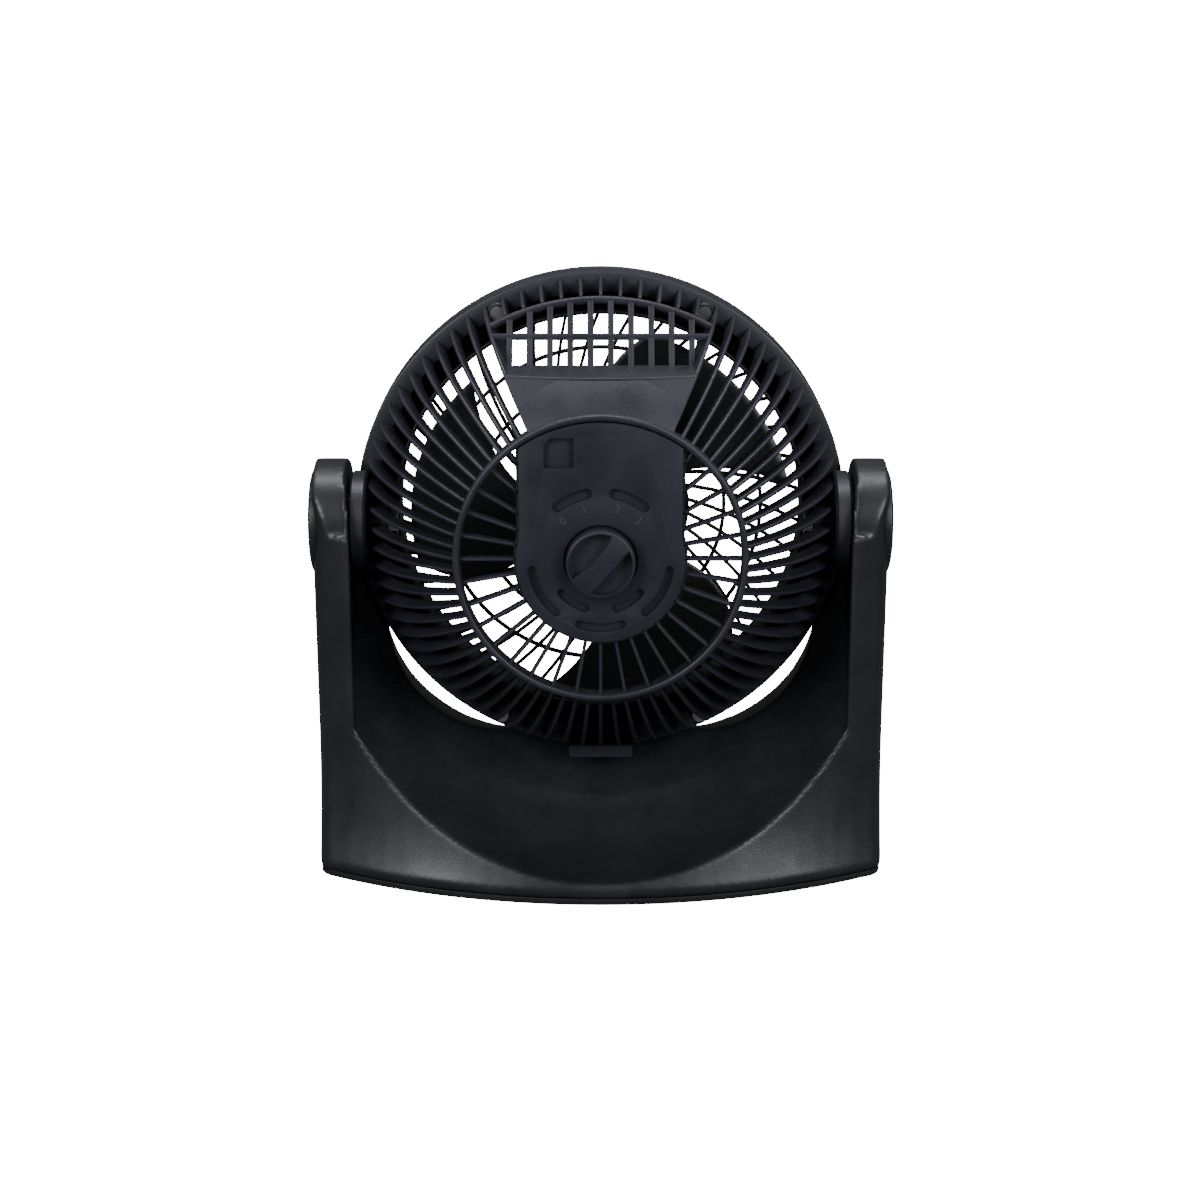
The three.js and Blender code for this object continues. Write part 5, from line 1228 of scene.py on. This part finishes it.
class FAN_OT_hardware(bpy.types.Operator):
    """Gives the screws, motor and pivot parts that the frame carries their finish"""
    bl_idname = "fan.hardware"
    bl_label = "Hardware finishes"

    def execute(self, context):
        steel = metal("zinc steel", (0.50, 0.51, 0.52), 0.35)
        iron = metal("lamination iron", (0.22, 0.22, 0.23), 0.5)
        copper = metal("enamelled copper", (0.62, 0.26, 0.12), 0.4)
        bronze = metal("sintered bronze", (0.40, 0.27, 0.13), 0.5)
        cast = metal("cast aluminium", (0.62, 0.63, 0.64), 0.42)
        nylon = plastic("nylon", (0.55, 0.53, 0.48), 0.5, dust=0)
        bush = plastic("bush plastic", (0.03, 0.03, 0.032), 0.45, dust=0)
        finishes = {
            "stator_core": iron, "rotor": iron, "stator_winding": copper, "bearing": bronze,
            "motor_bracket": cast, "pivot_bush": bush, "rotary_switch": nylon,
            "cord_inlet": rubber(), "spinner_nut": grille_plastic(),
        }
        for name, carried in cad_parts.items():
            if carried.hide_render:
                continue
            material = next((made for part, made in finishes.items() if part in name), steel)
            carried.data.materials.clear()
            carried.data.materials.append(material)
        return {"FINISHED"}


# ------------------------------------------------------------------ the stage
def seen_by_camera(tree, elsewhere, seen):
    """A value that differs between what the camera sees and what lights or is reflected."""
    path = node(tree, "ShaderNodeLightPath")
    value = node(tree, "ShaderNodeMapRange")
    value.inputs["To Min"].default_value = elsewhere
    value.inputs["To Max"].default_value = seen
    link(tree, path.outputs["Is Camera Ray"], value.inputs["Value"])
    return value.outputs["Result"]


def studio_paper(studio):
    """White paper that glows in the camera's view, and throws little light back at the fan."""
    paper = bpy.data.materials.new("studio paper")
    paper.use_nodes = True
    tree = paper.node_tree
    shader = tree.nodes["Principled BSDF"]
    shader.inputs["Roughness"].default_value = 0.95
    shader.inputs["Specular IOR Level"].default_value = 0
    shader.inputs["Emission Color"].default_value = (1, 1, 1, 1)
    shade = node(tree, "ShaderNodeCombineColor")
    grey = seen_by_camera(tree, 0.12, 0.9)
    for channel in ("Red", "Green", "Blue"):
        link(tree, grey, shade.inputs[channel])
    link(tree, shade.outputs["Color"], shader.inputs["Base Color"])
    link(tree, seen_by_camera(tree, 0, studio.backdrop), shader.inputs["Emission Strength"])
    return paper


CAMERA_PLACE = (-0.0003, -1.0592, 0.4433)
CAMERA_PITCH = math.radians(16.57)
CAMERA_LENS = 68.4


class FAN_OT_studio(bpy.types.Operator):
    """Sets up the floor, the soft lights and the camera"""
    bl_idname = "fan.studio"
    bl_label = "Studio and camera"

    def execute(self, context):
        studio = context.scene.fan_studio
        start_fresh()
        bpy.ops.mesh.primitive_plane_add(size=8, location=(0, 0, -0.0002))
        floor = bpy.context.object
        floor.name = "studio_floor"
        edit(floor)
        bpy.ops.mesh.subdivide(number_cuts=4)
        leave()
        pick(floor)
        bpy.ops.object.transform_apply(location=True, rotation=True, scale=True)
        floor.data.materials.append(studio_paper(studio))

        world = bpy.data.worlds.new("studio")
        world.use_nodes = True
        tree = world.node_tree
        back = tree.nodes["Background"]
        back.inputs["Color"].default_value = (1, 1, 1, 1)
        link(tree, seen_by_camera(tree, studio.fill, studio.backdrop), back.inputs["Strength"])
        context.scene.world = world

        def lamp(name, place, aim, size, power):
            bpy.ops.object.light_add(type="AREA", location=place)
            made = bpy.context.object
            made.name = name
            made.data.shape = "RECTANGLE"
            made.data.size, made.data.size_y = size
            made.data.energy = power
            made.rotation_euler = (Vector(aim) - Vector(place)).to_track_quat("-Z", "Y").to_euler()

        lamp("top_light", (0, 0.1, 1.4), (0, 0, 0.15), (1.3, 0.2), studio.top_power)
        lamp("left_light", (-1.0, -1.2, 0.85), (0, 0, 0.1), (0.6, 0.9), studio.side_power)
        lamp("right_light", (1.0, -1.2, 0.85), (0, 0, 0.1), (0.6, 0.9), studio.side_power)

        bpy.ops.object.camera_add(location=CAMERA_PLACE)
        camera = bpy.context.object
        camera.name = "photo_camera"
        camera.rotation_euler = (math.pi / 2 - CAMERA_PITCH, 0, 0)
        camera.data.lens = CAMERA_LENS
        camera.data.sensor_width = 36
        context.scene.camera = camera
        return {"FINISHED"}


PIECES = [
    FAN_OT_rib_cage,
    FAN_OT_rim_and_ring,
    FAN_OT_handle_window,
    FAN_OT_motor_cover,
    FAN_OT_speed_knob,
    FAN_OT_front_bezel,
    FAN_OT_front_grille,
    FAN_OT_impeller,
    FAN_OT_base,
    FAN_OT_underside,
    FAN_OT_pivot_caps,
    FAN_OT_hardware,
    FAN_OT_studio,
]


class FAN_PT_pieces(bpy.types.Panel):
    """Lists the fan's settings and the operators that make its pieces"""
    bl_idname = "FAN_PT_pieces"
    bl_label = "Air circulator fan"
    bl_space_type = "VIEW_3D"
    bl_region_type = "UI"
    bl_category = "Fan"

    def draw(self, context):
        column = self.layout.column()
        for maker in PIECES:
            column.operator(maker.bl_idname)
        for name, group in SETTINGS.items():
            box = self.layout.box()
            for key in group.__annotations__:
                box.prop(getattr(context.scene, name), key)


def register():
    for name, group in SETTINGS.items():
        bpy.utils.register_class(group)
        setattr(bpy.types.Scene, name, bpy.props.PointerProperty(type=group))
    for maker in PIECES:
        bpy.utils.register_class(maker)
    bpy.utils.register_class(FAN_PT_pieces)


def unregister():
    bpy.utils.unregister_class(FAN_PT_pieces)
    for maker in reversed(PIECES):
        bpy.utils.unregister_class(maker)
    for name, group in reversed(SETTINGS.items()):
        delattr(bpy.types.Scene, name)
        bpy.utils.unregister_class(group)


def main():
    register()
    for maker in PIECES:
        family, name = maker.bl_idname.split(".")
        if getattr(getattr(bpy.ops, family), name)() != {"FINISHED"}:
            raise RuntimeError(f"{maker.bl_label} wasn't finished")


if __name__ == "__main__":
    main()
